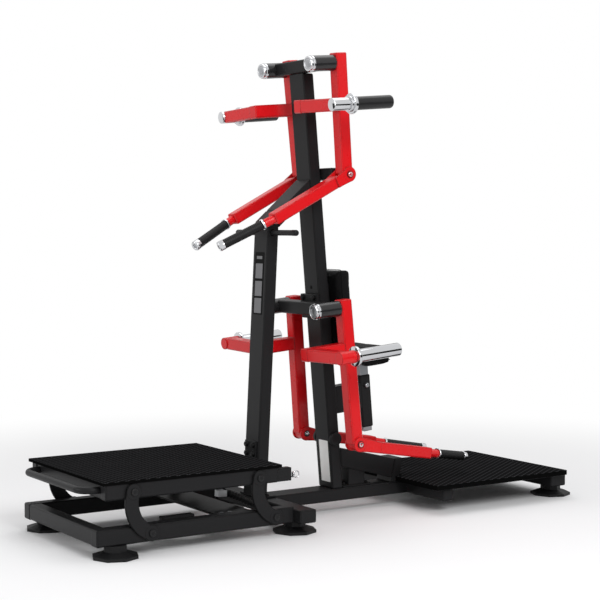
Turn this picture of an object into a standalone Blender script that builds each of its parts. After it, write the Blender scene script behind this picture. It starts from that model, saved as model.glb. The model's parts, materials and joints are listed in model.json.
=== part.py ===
"""Plate-loaded lateral raise and rear deltoid machine, as separate sub-parts at real size.

Metres, +Z up. +X runs along the machine from the front station, with its height-adjustable
deck, to the rear station. +Y is across it. Z is 0 on the floor, and the origin lies midway
along and across the machine. The machine is the same on both sides of the plane Y = 0.
"""

import math

import bmesh
import bpy
from mathutils import Matrix, Vector

# Shared stock and clearances
GAP = 0.0003
SECTION = 0.050
UPRIGHT_WIDTH = 0.100
CORNER_RADIUS = 0.004
PLATE_EDGE = 0.0015
WELD_DEPTH = 0.0045
SOCKET_DEPTH = 0.011
TOUCH = 0.0001
ROUND_SIDES = 16
SMALL_SIDES = 12
HEX_SIDES = 6
HEX_BOLT_RADIUS = 0.010
HEX_BOLT_HEIGHT = 0.008
WASHER_RADIUS = 0.0118
WASHER_HEIGHT = 0.002

# Floor, feet and base frames
FOOT_HEIGHT = 0.046
FOOT_RADIUS = 0.084
FOOT_SOLE = 0.010
FOOT_SHOULDER = 0.024
FOOT_NECK_RADIUS = 0.042
FOOT_SIDES = 8
FRONT_FRAME_START = -0.828
FRONT_FRAME_HALF_WIDTH = 0.316
RAIL_HEIGHT = 0.060
RAIL_WIDTH = 0.050
FRONT_FOOT_INSET = 0.083
FRONT_FOOT_Y = 0.288
CROSSBAR_START = -0.024
CROSSBAR_LENGTH_X = 0.072
CROSSBAR_HALF_WIDTH = 0.358
CROSSBAR_FOOT_Y = 0.262
BEAM_HEIGHT = 0.050
BEAM_WIDTH = 0.100
MIDDLE_TUBE_X = 0.727
MIDDLE_TUBE_HALF_WIDTH = 0.291
REAR_TUBE_START = 1.288
REAR_TUBE_LENGTH_X = 0.083
REAR_TUBE_HALF_WIDTH = 0.284
REAR_FOOT_X = 1.352
REAR_FOOT_Y = 0.210

# Front station: lifting deck on four curved links
DECK_START = -0.806
DECK_LENGTH = 0.725
DECK_HALF_WIDTH = 0.323
DECK_TOP = 0.270
DECK_LIP = 0.012
TREAD_THICKNESS = 0.004
LIP_THICKNESS = 0.003
DECK_TUBE_HEIGHT = 0.062
DECK_TUBE_WIDTH = 0.040
DECK_FRAME_INSET = 0.012
DECK_REAR_TUBE_HEIGHT = 0.030
FRONT_LINK_SETBACK = 0.185
LINK_SPACING = 0.512
LINK_BASE_Z = 0.077
LINK_HEIGHT = 0.151
LINK_REACH = -0.069
LINK_THICKNESS = 0.010
LINK_END_RADIUS = 0.029
LINK_BULGE = 0.061
LINK_WAIST = 0.052
LINK_PIN_RADIUS = 0.009
LINK_PIN_HEAD = 0.0125
LINK_PIN_HEAD_HEIGHT = 0.005
LINK_SIDE_GAP = 0.0015
LOOP_REACH = 0.046
LOOP_HALF_WIDTH = 0.256
LOOP_BEND = 0.055
LOOP_RADIUS = 0.0125
PIN_BLOCK = (0.064, 0.030, 0.049)
PULL_PIN_RISE = 0.019
PULL_PIN_RADIUS = 0.005
PULL_PIN_TRAVEL = 0.012
PULL_KNOB_RADIUS = 0.011
PULL_KNOB_LENGTH = 0.020
PULL_RING_RADIUS = 0.012
PULL_RING_WIRE = 0.0018
LOCK_PLATE_START = -0.315
LOCK_PLATE_LENGTH = 0.152
LOCK_PLATE_HEIGHT = 0.008
PLATE_BOLT_SHARES = (0.10, 0.33)
PLATE_BOLT_INSET = 0.014
STRUT_LOW = (-0.034, 0.066)
STRUT_HIGH = (-0.196, 0.147)
STRUT_Y = -0.105
STRUT_RADIUS = 0.011
STRUT_HEAD = (0.040, 0.025, 0.025)
RAIL_BLOCK = (0.128, 0.030, 0.030)
RAIL_BLOCK_X = -0.486
RAIL_BLOCK_TOP = 0.116

# Uprights and braces
POST_FOOT_X = -0.0259
POST_LEAN = 0.0521
COLUMN_FOOT_X = 0.3325
LEAN_ANGLE = math.radians(5.0)
BRACE_SLOPE = 0.87
POST_TOP_RISE = 0.040
HANDLEBAR_DROP = 0.212
HANDLEBAR_RADIUS = 0.0115
HANDLEBAR_HALF_WIDTH = 0.218
FLANGE_THICKNESS = 0.008
FLANGE_SPREAD = 0.029
SLOPE_TOP = 0.258
SLOPE_ANGLE = math.radians(13.5)
SLOPE_DEPTH = 0.074
SLOPE_END_X = 0.648
SLOPE_END_THICKNESS = 0.038
SLOPE_CLEARANCE = 0.036
SADDLE_X = 0.454
SADDLE_LENGTH = 0.079
SADDLE_SPREAD = 0.030
POST_PLATE_LOW = 0.250
POST_PLATE_HIGH = 0.314
POST_PLATE_WIDTH = 0.076

# Rear station: deck and pads
REAR_DECK_START = 0.645
REAR_DECK_LENGTH = 0.697
REAR_DECK_HALF_WIDTH = 0.323
REAR_DECK_TOP = 0.119
REAR_DECK_LIP = 0.020
REAR_DECK_BAR = 0.040
HEAD_PAD_HALF_WIDTH = 0.115
HEAD_PAD_PLATE = (0.0096, 0.080, 0.220)
HEAD_PAD_LOW = 0.646
HEAD_PAD_HIGH = 0.974
HEAD_PAD_THICKNESS = 0.056
HEAD_PAD_CROWN = 0.006
HEAD_PAD_EDGE = 0.012
CHEST_POST_X = 0.516
CHEST_POST_Z = 0.436
CHEST_SLEEVE_SECTION = 0.051
CHEST_SLEEVE_LOW = 0.329
CHEST_SLEEVE_HIGH = 0.543
CHEST_TUBE_SECTION = 0.042
CHEST_TUBE_LOW = 0.312
CHEST_PAD_BASE = 0.592
CHEST_PAD_SIZE = (0.122, 0.254, 0.066)
CHEST_PLATE_HEIGHT = 0.006
CHEST_PAD_CROWN = 0.007
CHEST_BRACKET_LOW = 0.407
CHEST_BRACKET_HIGH = 0.516
CHEST_BRACKET_WIDTH = 0.050
CHEST_TRAVEL = 0.120
CHEST_PIN_Z = 0.501
CHEST_PIN_RADIUS = 0.005
CHEST_KNOB_RADIUS = 0.010
CHEST_KNOB_LENGTH = 0.014
CHEST_PIN_TRAVEL = 0.010

# Swing arms, in their pivot's own frame: x along the pivot, y across, z along the arm
UPPER_PIVOT = (0.1323, 0.168, 1.761)
LOWER_PIVOT = (0.1515, 0.178, 0.8165)
UPPER_SWING_REST = math.radians(-1.8)
LOWER_SWING_REST = math.radians(1.2)
LOWER_SWING_IN = math.radians(-9.4)
ARM_FRONT = 0.118
ARM_TOP_UPPER = 0.038
ARM_TOP_LOWER = 0.033
HINGE_X = 0.148
UPPER_ARM_LENGTH = 0.429
LOWER_ARM_LENGTH = 0.537
LEVER_FRONT = -0.058
LEVER_DROP = 0.160
HORN_OFFSET = 0.238
HORN_BOSS_RADIUS = 0.024
HORN_BOSS_START = -0.064
HORN_RADIUS = 0.025
HORN_FLANGE_RADIUS = 0.0385
HORN_FLANGE_LENGTH = 0.013
HORN_COLLAR_RADIUS = 0.031
UPPER_BOSS_END = 0.008
UPPER_COLLAR_END = 0.020
UPPER_HORN_END = 0.206
LOWER_BOSS_END = 0.008
LOWER_HORN_END = 0.2145
HORN_CORE_RADIUS = 0.012
PIVOT_BAR_START = 0.054
HOUSING_START = 0.020
HOUSING_END_GAP = 0.002
HOUSING_RADIUS = 0.030
HOUSING_BORE = 0.0235
BEARING_WIDTH = 0.014
BEARING_BORE = 0.0157
SHAFT_RADIUS = 0.015
CAP_RADIUS = 0.029
CAP_RIM_RADIUS = 0.031
CAP_LENGTH = 0.0197
HEAD_FLANGE_WIDTH = 0.110
HEAD_FLANGE_HEIGHT = 0.096
HEAD_FLANGE_BELOW = 0.045
BUMPER_RADIUS = 0.027
BUMPER_Z = 0.298
STOP_BAR_Z = 1.3485
STOP_BAR_SECTION = 0.047
STOP_CLEARANCE = 0.0006

# Handle arms, in their hinge's own frame: x along the arm, away from the hinge
EAR_RADIUS = 0.029
EAR_THICKNESS = 0.007
UPPER_EAR_LENGTH = 0.066
LOWER_EAR_LENGTH = 0.105
HANDLE_TUBE_START = 0.046
HANDLE_TUBE_HEIGHT = 0.0445
HINGE_BOLT_RADIUS = 0.008
HINGE_HEAD_RADIUS = 0.013
HINGE_HEAD_HEIGHT = 0.006
UPPER_HANDLE_SLOPE = math.radians(27.4)
UPPER_HANDLE_OFFSET = -0.005
UPPER_HANDLE_END = 0.372
UPPER_STUB = 0.040
UPPER_GRIP_DROOP = 0.0
LOWER_HANDLE_SLOPE = math.radians(9.6)
LOWER_HANDLE_OFFSET = -0.0045
LOWER_HANDLE_END = 0.365
LOWER_STUB = 0.052
LOWER_GRIP_DROOP = 0.0
GRIP_TURN = math.radians(14.0)
STUB_RADIUS = 0.0165
RING_RADIUS = 0.0215
RING_LENGTH = 0.008
GRIP_RADIUS = 0.018
GRIP_LENGTH = 0.165
GRIP_CORE_RADIUS = 0.010
END_CAP_LENGTH = 0.022
END_CAP_RADIUS = 0.0195

# Worked out from the sizes above
BASE_Z = FOOT_HEIGHT
RAIL_TOP = BASE_Z + RAIL_HEIGHT
BEAM_TOP = BASE_Z + BEAM_HEIGHT
CROSSBAR_END = CROSSBAR_START + CROSSBAR_LENGTH_X
CROSSBAR_X = CROSSBAR_START + CROSSBAR_LENGTH_X / 2
REAR_TUBE_X = REAR_TUBE_START + REAR_TUBE_LENGTH_X / 2
HANDLEBAR_Z = UPPER_PIVOT[2] - UPPER_ARM_LENGTH - HANDLEBAR_DROP
POST_FRONT_TOP = HANDLEBAR_Z + POST_TOP_RISE
DECK_END = DECK_START + DECK_LENGTH
FRONT_LINK_BASE_X = DECK_START + FRONT_LINK_SETBACK
REAR_LINK_BASE_X = FRONT_LINK_BASE_X + LINK_SPACING
DECK_FRAME_TOP = DECK_TOP - TREAD_THICKNESS - GAP
DECK_FRAME_LOW = DECK_FRAME_TOP - DECK_TUBE_HEIGHT
HALF = SECTION / 2
LOOP_FRONT = DECK_START - LOOP_REACH - LOOP_RADIUS
MACHINE_CENTRE = (LOOP_FRONT + REAR_FOOT_X + FOOT_RADIUS) / 2
EAR_OUTER = HALF + GAP + EAR_THICKNESS
PLATE_TOP = RAIL_TOP - 0.010
LEAN_SLOPE = math.tan(LEAN_ANGLE)

PART = "rear_deltoid_machine"
CUTTERS = "cutters_and_guides"

PAINTS = {
    "black_paint": ((0.033, 0.033, 0.034), 0.42, 0.0),
    "red_paint": ((0.72, 0.022, 0.028), 0.32, 0.0),
    "chrome": ((0.80, 0.80, 0.81), 0.10, 1.0),
    "zinc_steel": ((0.52, 0.53, 0.54), 0.35, 1.0),
    "black_rubber": ((0.016, 0.016, 0.017), 0.75, 0.0),
    "black_vinyl": ((0.014, 0.014, 0.015), 0.50, 0.0),
    "tread_coating": ((0.012, 0.012, 0.013), 0.80, 0.0),
}


def clear_scene():
    """Removes whatever the scene holds, so that the script can be run again."""
    for old in list(bpy.data.objects):
        bpy.data.objects.remove(old, do_unlink=True)
    for old in list(bpy.data.collections):
        bpy.data.collections.remove(old)


def new_collection(name):
    """A collection under the scene's own."""
    made = bpy.data.collections.new(name)
    bpy.context.scene.collection.children.link(made)
    return made


def paint(name):
    """The Principled material of that name, made once."""
    found = bpy.data.materials.get(name)
    if found:
        return found
    colour, roughness, metallic = PAINTS[name]
    made = bpy.data.materials.new(name)
    made.use_nodes = True
    shader = made.node_tree.nodes["Principled BSDF"]
    shader.inputs["Base Color"].default_value = (*colour, 1.0)
    shader.inputs["Roughness"].default_value = roughness
    shader.inputs["Metallic"].default_value = metallic
    made.diffuse_color = (*colour, 1.0)
    return made


def frame_empty(name, matrix, parent=None):
    """An empty that carries a sub-assembly. matrix is its place in its parent."""
    made = bpy.data.objects.new(name, None)
    bpy.data.collections[PART].objects.link(made)
    made.parent = parent
    made.matrix_local = matrix
    return made


def add_object(name, data, parent=None, matrix=None, finish=None):
    """An object of the part, at matrix in its parent's frame."""
    made = bpy.data.objects.new(name, data)
    bpy.data.collections[PART].objects.link(made)
    made.parent = parent
    made.matrix_local = matrix if matrix else Matrix.Identity(4)
    if finish:
        made.data.materials.append(paint(finish))
    return made


def round_edges(made, width, segments=1):
    """A Bevel modifier on the sharp edges."""
    bevel = made.modifiers.new("edges", "BEVEL")
    bevel.width = width
    bevel.segments = segments
    bevel.limit_method = "ANGLE"
    bevel.angle_limit = math.radians(40)
    return made


def smooth_rounds(mesh):
    """Smooth shading that keeps the sharp edges."""
    mesh.shade_smooth()
    mesh.set_sharp_from_angle(angle=math.radians(35))


def box(name, size, centre, parent=None, finish=None, edge=CORNER_RADIUS, turn=None):
    """A box of that size about its centre, its edges rounded, turned by a matrix if given."""
    mesh = bpy.data.meshes.new(name)
    work = bmesh.new()
    bmesh.ops.create_cube(work, size=1.0)
    bmesh.ops.scale(work, vec=Vector(size), verts=work.verts)
    work.to_mesh(mesh)
    work.free()
    place = Matrix.Translation(centre)
    made = add_object(name, mesh, parent, place @ turn if turn else place, finish)
    if edge:
        round_edges(made, edge)
    return made


def along(axis):
    """The rotation that lays +Z along an axis."""
    return Vector(axis).to_track_quat("Z", "Y").to_matrix().to_4x4()


def bore_radius(radius, sides=SMALL_SIDES):
    """The radius of a faceted bore that clears a round bar by GAP at its flats."""
    return (radius + GAP) / math.cos(math.pi / sides)


def rod(name, radius, start, end, parent=None, finish=None, sides=ROUND_SIDES, edge=0.0):
    """A round bar from one point to another."""
    start, end = Vector(start), Vector(end)
    mesh = bpy.data.meshes.new(name)
    work = bmesh.new()
    bmesh.ops.create_cone(
        work,
        cap_ends=True,
        segments=sides,
        radius1=radius,
        radius2=radius,
        depth=(end - start).length,
    )
    work.to_mesh(mesh)
    work.free()
    smooth_rounds(mesh)
    place = Matrix.Translation((start + end) / 2) @ along(end - start)
    made = add_object(name, mesh, parent, place, finish)
    if edge:
        round_edges(made, edge)
    return made


def turned(name, profile, start, axis, parent=None, finish=None, sides=ROUND_SIDES):
    """A turned piece. profile runs from the far end to the near one as (radius, distance)."""
    mesh = bpy.data.meshes.new(name)
    work = bmesh.new()
    points = [work.verts.new((radius, 0.0, distance)) for radius, distance in profile]
    for first, second in zip(points, points[1:]):
        work.edges.new((first, second))
    work.to_mesh(mesh)
    work.free()
    made = add_object(name, mesh, parent, Matrix.Translation(start) @ along(axis), finish)
    screw = made.modifiers.new("turn", "SCREW")
    screw.steps = sides
    screw.render_steps = sides
    screw.use_merge_vertices = True
    screw.merge_threshold = TOUCH / 2
    screw.use_smooth_shade = False
    return made


def plate(name, outline, thickness, place, parent=None, finish=None, edge=PLATE_EDGE):
    """A flat plate: a closed outline in its own X and Y, extruded both ways along its Z."""
    curve = bpy.data.curves.new(name, "CURVE")
    curve.dimensions = "2D"
    curve.fill_mode = "BOTH"
    curve.extrude = thickness / 2
    spline = curve.splines.new("POLY")
    spline.points.add(len(outline) - 1)
    for point, (across, up) in zip(spline.points, outline):
        point.co = (across, up, 0.0, 1.0)
    spline.use_cyclic_u = True
    guide = add_object(name + "_outline", curve, parent, place)
    made = mesh_copy(guide, name, finish)
    if edge:
        round_edges(made, edge, segments=1)
    return made


def mesh_copy(curve_object, name, finish=None):
    """A mesh object in place of a curve object, with its caps welded on."""
    bpy.context.view_layer.update()
    graph = bpy.context.evaluated_depsgraph_get()
    mesh = bpy.data.meshes.new_from_object(curve_object.evaluated_get(graph))
    work = bmesh.new()
    work.from_mesh(mesh)
    bmesh.ops.remove_doubles(work, verts=work.verts, dist=TOUCH / 10)
    bmesh.ops.recalc_face_normals(work, faces=work.faces)
    work.to_mesh(mesh)
    work.free()
    mesh.name = name
    mesh.materials.clear()
    made = add_object(name, mesh, curve_object.parent, curve_object.matrix_local.copy(), finish)
    old = curve_object.data
    bpy.data.objects.remove(curve_object, do_unlink=True)
    bpy.data.curves.remove(old)
    return made


def bent_bar(name, points, radius, parent=None, finish=None, resolution=3):
    """A round bar bent along points, with closed ends."""
    curve = bpy.data.curves.new(name, "CURVE")
    curve.dimensions = "3D"
    curve.bevel_depth = radius
    curve.bevel_resolution = resolution
    curve.use_fill_caps = True
    spline = curve.splines.new("POLY")
    spline.points.add(len(points) - 1)
    for point, place in zip(spline.points, points):
        point.co = (*place, 1.0)
    return mesh_copy(add_object(name + "_line", curve, parent), name, finish)


def as_guide(made):
    """Marks an object as a cutter or guide, which is not a piece of the part."""
    for owner in list(made.users_collection):
        owner.objects.unlink(made)
    bpy.data.collections[CUTTERS].objects.link(made)
    made.hide_render = True
    made.display_type = "WIRE"
    return made


def boolean(made, others, operation):
    """Boolean modifiers with the EXACT solver, one for each of the others."""
    for other in others:
        as_guide(other)
        step = made.modifiers.new(operation.lower(), "BOOLEAN")
        step.operation = operation
        step.solver = "EXACT"
        step.object = other
    return made


def weld(made, *others):
    """Joins pieces that are welded together into the first one."""
    return boolean(made, others, "UNION")


def cut(made, *others):
    """Takes cutters out of a piece."""
    return boolean(made, others, "DIFFERENCE")


def arc(centre, radius, start, end, steps):
    """Points along an arc in a plane, angles in degrees."""
    found = []
    for step in range(steps + 1):
        angle = math.radians(start + (end - start) * step / steps)
        found.append((centre[0] + radius * math.cos(angle), centre[1] + radius * math.sin(angle)))
    return found


def leaning_tube(name, x_low, x_high, length_x, width, z_low, z_high, finish):
    """An upright that leans along X, with level ends. x_low and x_high are its front face."""
    mesh = bpy.data.meshes.new(name)
    work = bmesh.new()
    bmesh.ops.create_cube(work, size=1.0)
    height = z_high - z_low
    bmesh.ops.scale(work, vec=Vector((length_x, width, height)), verts=work.verts)
    shear = Matrix.Identity(4)
    shear[0][2] = (x_high - x_low) / height
    bmesh.ops.transform(work, matrix=shear, verts=work.verts)
    work.to_mesh(mesh)
    work.free()
    centre = ((x_low + x_high) / 2 + length_x / 2, 0.0, (z_low + z_high) / 2)
    made = add_object(name, mesh, None, Matrix.Translation(centre), finish)
    return round_edges(made, CORNER_RADIUS)


def side_plate_matrix(y, x=0.0, z=0.0):
    """Stands a plate's outline up in the XZ plane, its middle at y."""
    return Matrix.Translation((x, y, z)) @ Matrix.Rotation(math.radians(90), 4, "X")


def post_face(z):
    """X of the front post's front face at a height."""
    return POST_FOOT_X + POST_LEAN * (z - BEAM_TOP)


def column_face(z):
    """X of the main column's front face at a height."""
    return COLUMN_FOOT_X - LEAN_SLOPE * (z - BEAM_TOP)


def lean_frame(name, place, side, swing_rest):
    """The empty on a swing pivot: x along the pivot, tipped up with the column's lean."""
    x, y, z = place
    matrix = (
        Matrix.Translation((x, side * y, z))
        @ Matrix.Rotation(-LEAN_ANGLE, 4, "Y")
        @ Matrix.Rotation(side * swing_rest, 4, "X")
    )
    return frame_empty(name, matrix)


def bolt_heads(name, places, parent=None):
    """Hexagon heads on washers, to be welded to what they hold. places are (point, axis)."""
    heads = []
    for index, (point, axis) in enumerate(places):
        start, way = Vector(point), Vector(axis)
        head = [
            (0.0, HEX_BOLT_HEIGHT),
            (HEX_BOLT_RADIUS, HEX_BOLT_HEIGHT),
            (HEX_BOLT_RADIUS, WASHER_HEIGHT),
            (WASHER_RADIUS, WASHER_HEIGHT),
            (WASHER_RADIUS, -WASHER_HEIGHT),
            (0.0, -WASHER_HEIGHT),
        ]
        heads.append(turned(f"{name}_{index}", head, start, way, parent, sides=HEX_SIDES))
    return heads


def foot_pads():
    """Six eight-sided rubber feet, each from the same turned profile."""
    profile = [
        (0.0, BASE_Z - GAP),
        (FOOT_NECK_RADIUS, BASE_Z - GAP),
        (FOOT_NECK_RADIUS, FOOT_SHOULDER),
        (FOOT_RADIUS, FOOT_SOLE),
        (FOOT_RADIUS, 0.0),
        (0.0, 0.0),
    ]
    places = (
        ("front", FRONT_FRAME_START + FRONT_FOOT_INSET, FRONT_FOOT_Y),
        ("middle", CROSSBAR_X, CROSSBAR_FOOT_Y),
        ("rear", REAR_FOOT_X, REAR_FOOT_Y),
    )
    for label, x, y in places:
        for side, end in ((-1, "near"), (1, "far")):
            name = f"foot_pad_{label}_{end}"
            turned(name, profile, (x, side * y, 0.0), (0, 0, 1), None, "black_rubber", FOOT_SIDES)


def front_base_frame():
    """Two long rails with the links' studs, the end tube and the bolted cross plate."""
    end_x = CROSSBAR_START - GAP
    length = end_x - FRONT_FRAME_START
    middle_x = (FRONT_FRAME_START + end_x) / 2
    rail_y = FRONT_FRAME_HALF_WIDTH - RAIL_WIDTH / 2
    centre_z = BASE_Z + RAIL_HEIGHT / 2
    inner = 2 * (FRONT_FRAME_HALF_WIDTH - RAIL_WIDTH + SOCKET_DEPTH)
    near, far = (
        box(
            "front_base_frame" if side < 0 else "front_base_rail_far",
            (length, RAIL_WIDTH, RAIL_HEIGHT),
            (middle_x, side * rail_y, centre_z),
            finish="black_paint",
        )
        for side in (-1, 1)
    )
    end_tube = box(
        "front_base_end",
        (RAIL_WIDTH, inner, RAIL_HEIGHT - 2 * PLATE_EDGE),
        (FRONT_FRAME_START + RAIL_WIDTH / 2 + PLATE_EDGE, 0.0, centre_z),
    )
    plate_x = LOCK_PLATE_START + LOCK_PLATE_LENGTH / 2
    lock_plate = box(
        "lock_base_plate",
        (LOCK_PLATE_LENGTH, inner, LOCK_PLATE_HEIGHT),
        (plate_x, 0.0, PLATE_TOP - LOCK_PLATE_HEIGHT / 2),
        edge=PLATE_EDGE,
    )
    _, block_width, block_height = RAIL_BLOCK
    block_y = -(FRONT_FRAME_HALF_WIDTH - RAIL_WIDTH + WELD_DEPTH - block_width / 2)
    block = box(
        "near_rail_block",
        RAIL_BLOCK,
        (RAIL_BLOCK_X, block_y, RAIL_BLOCK_TOP - block_height / 2),
        edge=PLATE_EDGE,
    )
    bolt_y = FRONT_FRAME_HALF_WIDTH - RAIL_WIDTH - PLATE_BOLT_INSET
    bolts = [
        ((LOCK_PLATE_START + share * LOCK_PLATE_LENGTH, side * bolt_y, PLATE_TOP), (0, 0, 1))
        for share in PLATE_BOLT_SHARES
        for side in (-1, 1)
    ]
    studs = link_studs("base_stud", FRONT_LINK_BASE_X, False)
    studs += link_studs("base_stud_rear", REAR_LINK_BASE_X, False)
    heads = bolt_heads("plate_bolt", bolts)
    return weld(near, far, end_tube, lock_plate, block, *heads, *studs)


def front_crossbar():
    """The wide tube under the front post."""
    return box(
        "front_crossbar",
        (CROSSBAR_LENGTH_X, 2 * CROSSBAR_HALF_WIDTH, BEAM_HEIGHT),
        (CROSSBAR_X, 0.0, BASE_Z + BEAM_HEIGHT / 2),
    )


def base_spine():
    """The flat beam along the machine, with the three cross tubes welded to it."""
    start = CROSSBAR_END - WELD_DEPTH
    centre_z = BASE_Z + BEAM_HEIGHT / 2
    end = REAR_TUBE_START + WELD_DEPTH
    inset = 2 * PLATE_EDGE
    beam = box(
        "base_spine",
        (end - start, BEAM_WIDTH, BEAM_HEIGHT),
        ((start + end) / 2, 0.0, centre_z),
        finish="black_paint",
    )
    middle = box(
        "middle_cross_tube",
        (SECTION, 2 * MIDDLE_TUBE_HALF_WIDTH, BEAM_HEIGHT - inset),
        (MIDDLE_TUBE_X, 0.0, centre_z - inset / 2),
    )
    rear = box(
        "rear_cross_tube",
        (REAR_TUBE_LENGTH_X, 2 * REAR_TUBE_HALF_WIDTH, BEAM_HEIGHT),
        (REAR_TUBE_X, 0.0, centre_z),
    )
    return weld(beam, front_crossbar(), middle, rear)


def front_post():
    """The leaning post of the front station, its foot flange and its bolted front plate."""
    foot = BEAM_TOP + GAP + FLANGE_THICKNESS / 4
    rear_top = post_rear_top()
    outline = [
        (post_face(foot), foot),
        (post_face(foot) + SECTION, foot),
        (post_face(rear_top) + SECTION, rear_top),
        (post_face(POST_FRONT_TOP), POST_FRONT_TOP),
    ]
    post = plate(
        "front_post",
        outline,
        UPRIGHT_WIDTH,
        side_plate_matrix(0.0),
        None,
        "black_paint",
        edge=CORNER_RADIUS,
    )
    flange = box(
        "post_foot_flange",
        (CROSSBAR_LENGTH_X - 2 * PLATE_EDGE, UPRIGHT_WIDTH + 2 * FLANGE_SPREAD, FLANGE_THICKNESS),
        (CROSSBAR_X, 0.0, BEAM_TOP + GAP + FLANGE_THICKNESS / 2),
        edge=PLATE_EDGE,
    )
    top = BEAM_TOP + GAP + FLANGE_THICKNESS
    bolts = [
        ((CROSSBAR_X, side * (UPRIGHT_WIDTH / 2 + FLANGE_SPREAD / 2), top), (0, 0, 1))
        for side in (-1, 1)
    ]
    middle = (POST_PLATE_LOW + POST_PLATE_HIGH) / 2
    face = post_face(middle) - FLANGE_THICKNESS
    front_plate = box(
        "post_front_plate",
        (2 * FLANGE_THICKNESS, POST_PLATE_WIDTH, POST_PLATE_HIGH - POST_PLATE_LOW),
        (face + FLANGE_THICKNESS, 0.0, middle),
        edge=PLATE_EDGE,
    )
    for side in (-1, 1):
        for level in (-1, 1):
            inset = WASHER_RADIUS + 2 * PLATE_EDGE
            across = side * (POST_PLATE_WIDTH / 2 - inset)
            up = middle + level * ((POST_PLATE_HIGH - POST_PLATE_LOW) / 2 - inset)
            bolts.append(((face, across, up), (-1, 0, 0)))
    weld(post, flange, front_plate, *bolt_heads("post_bolt", bolts))
    bar_x = post_face(HANDLEBAR_Z) + HALF
    hole = rod(
        "handlebar_hole",
        bore_radius(HANDLEBAR_RADIUS),
        (bar_x, -UPRIGHT_WIDTH, HANDLEBAR_Z),
        (bar_x, UPRIGHT_WIDTH, HANDLEBAR_Z),
        sides=SMALL_SIDES,
    )
    cut(post, hole)
    rod(
        "hand_bar",
        HANDLEBAR_RADIUS,
        (bar_x, -HANDLEBAR_HALF_WIDTH, HANDLEBAR_Z),
        (bar_x, HANDLEBAR_HALF_WIDTH, HANDLEBAR_Z),
        finish="black_paint",
        sides=SMALL_SIDES,
        edge=0.004,
    )
    return post


def main_column():
    """The leaning column that carries both pivot heads, with the head pad's plate."""
    foot = BEAM_TOP + GAP
    top = column_top()
    column = leaning_tube(
        "main_column",
        column_face(foot),
        column_face(top),
        SECTION,
        UPRIGHT_WIDTH,
        foot,
        top,
        "black_paint",
    )
    thickness, width, height = HEAD_PAD_PLATE
    plate_z = (HEAD_PAD_LOW + HEAD_PAD_HIGH) / 2
    plate_reach = SECTION + (thickness - WELD_DEPTH) / 2
    pad_plate = box(
        "head_pad_plate",
        (thickness + WELD_DEPTH, width, height),
        (column_face(plate_z) + plate_reach / math.cos(LEAN_ANGLE), 0.0, plate_z),
        edge=PLATE_EDGE,
        turn=Matrix.Rotation(-LEAN_ANGLE, 4, "Y"),
    )
    return weld(column, pad_plate)


def head_bar_centre(pivot):
    """Where a pivot head's crossbar lies, midway across."""
    reach = PIVOT_BAR_START + HALF
    x, _, z = pivot
    return (x + reach * math.cos(LEAN_ANGLE), 0.0, z + reach * math.sin(LEAN_ANGLE))


def column_top():
    """The column ends just under the upper pivot head's crossbar."""
    _, _, z = head_bar_centre(UPPER_PIVOT)
    return z - HALF / math.cos(LEAN_ANGLE) - HALF * LEAN_SLOPE - GAP


def post_rear_top():
    """Height of the post's rear top edge, on the line of the brace's top."""
    return POST_FRONT_TOP + BRACE_SLOPE * SECTION / (1 - BRACE_SLOPE * POST_LEAN)


def diagonal_brace():
    """The short brace from the post's top up to the column, in line with the post's cut top."""
    low_top = post_rear_top()
    low_x = post_face(low_top) + SECTION + 2 * GAP
    drop = SECTION * math.sqrt(1 + BRACE_SLOPE**2)
    run = (column_face(low_top) - 2 * GAP - low_x) / (1 + BRACE_SLOPE * LEAN_SLOPE)
    high_top = low_top + BRACE_SLOPE * run
    high_x = low_x + run
    inner_drop = drop * (1 - LEAN_SLOPE - POST_LEAN)
    outline = [
        (low_x - POST_LEAN * drop, low_top - drop),
        (high_x + LEAN_SLOPE * inner_drop, high_top - inner_drop),
        (high_x, high_top),
        (low_x, low_top),
    ]
    return plate(
        "diagonal_brace",
        outline,
        UPRIGHT_WIDTH,
        side_plate_matrix(0.0),
        None,
        "black_paint",
        edge=CORNER_RADIUS,
    )


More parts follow.
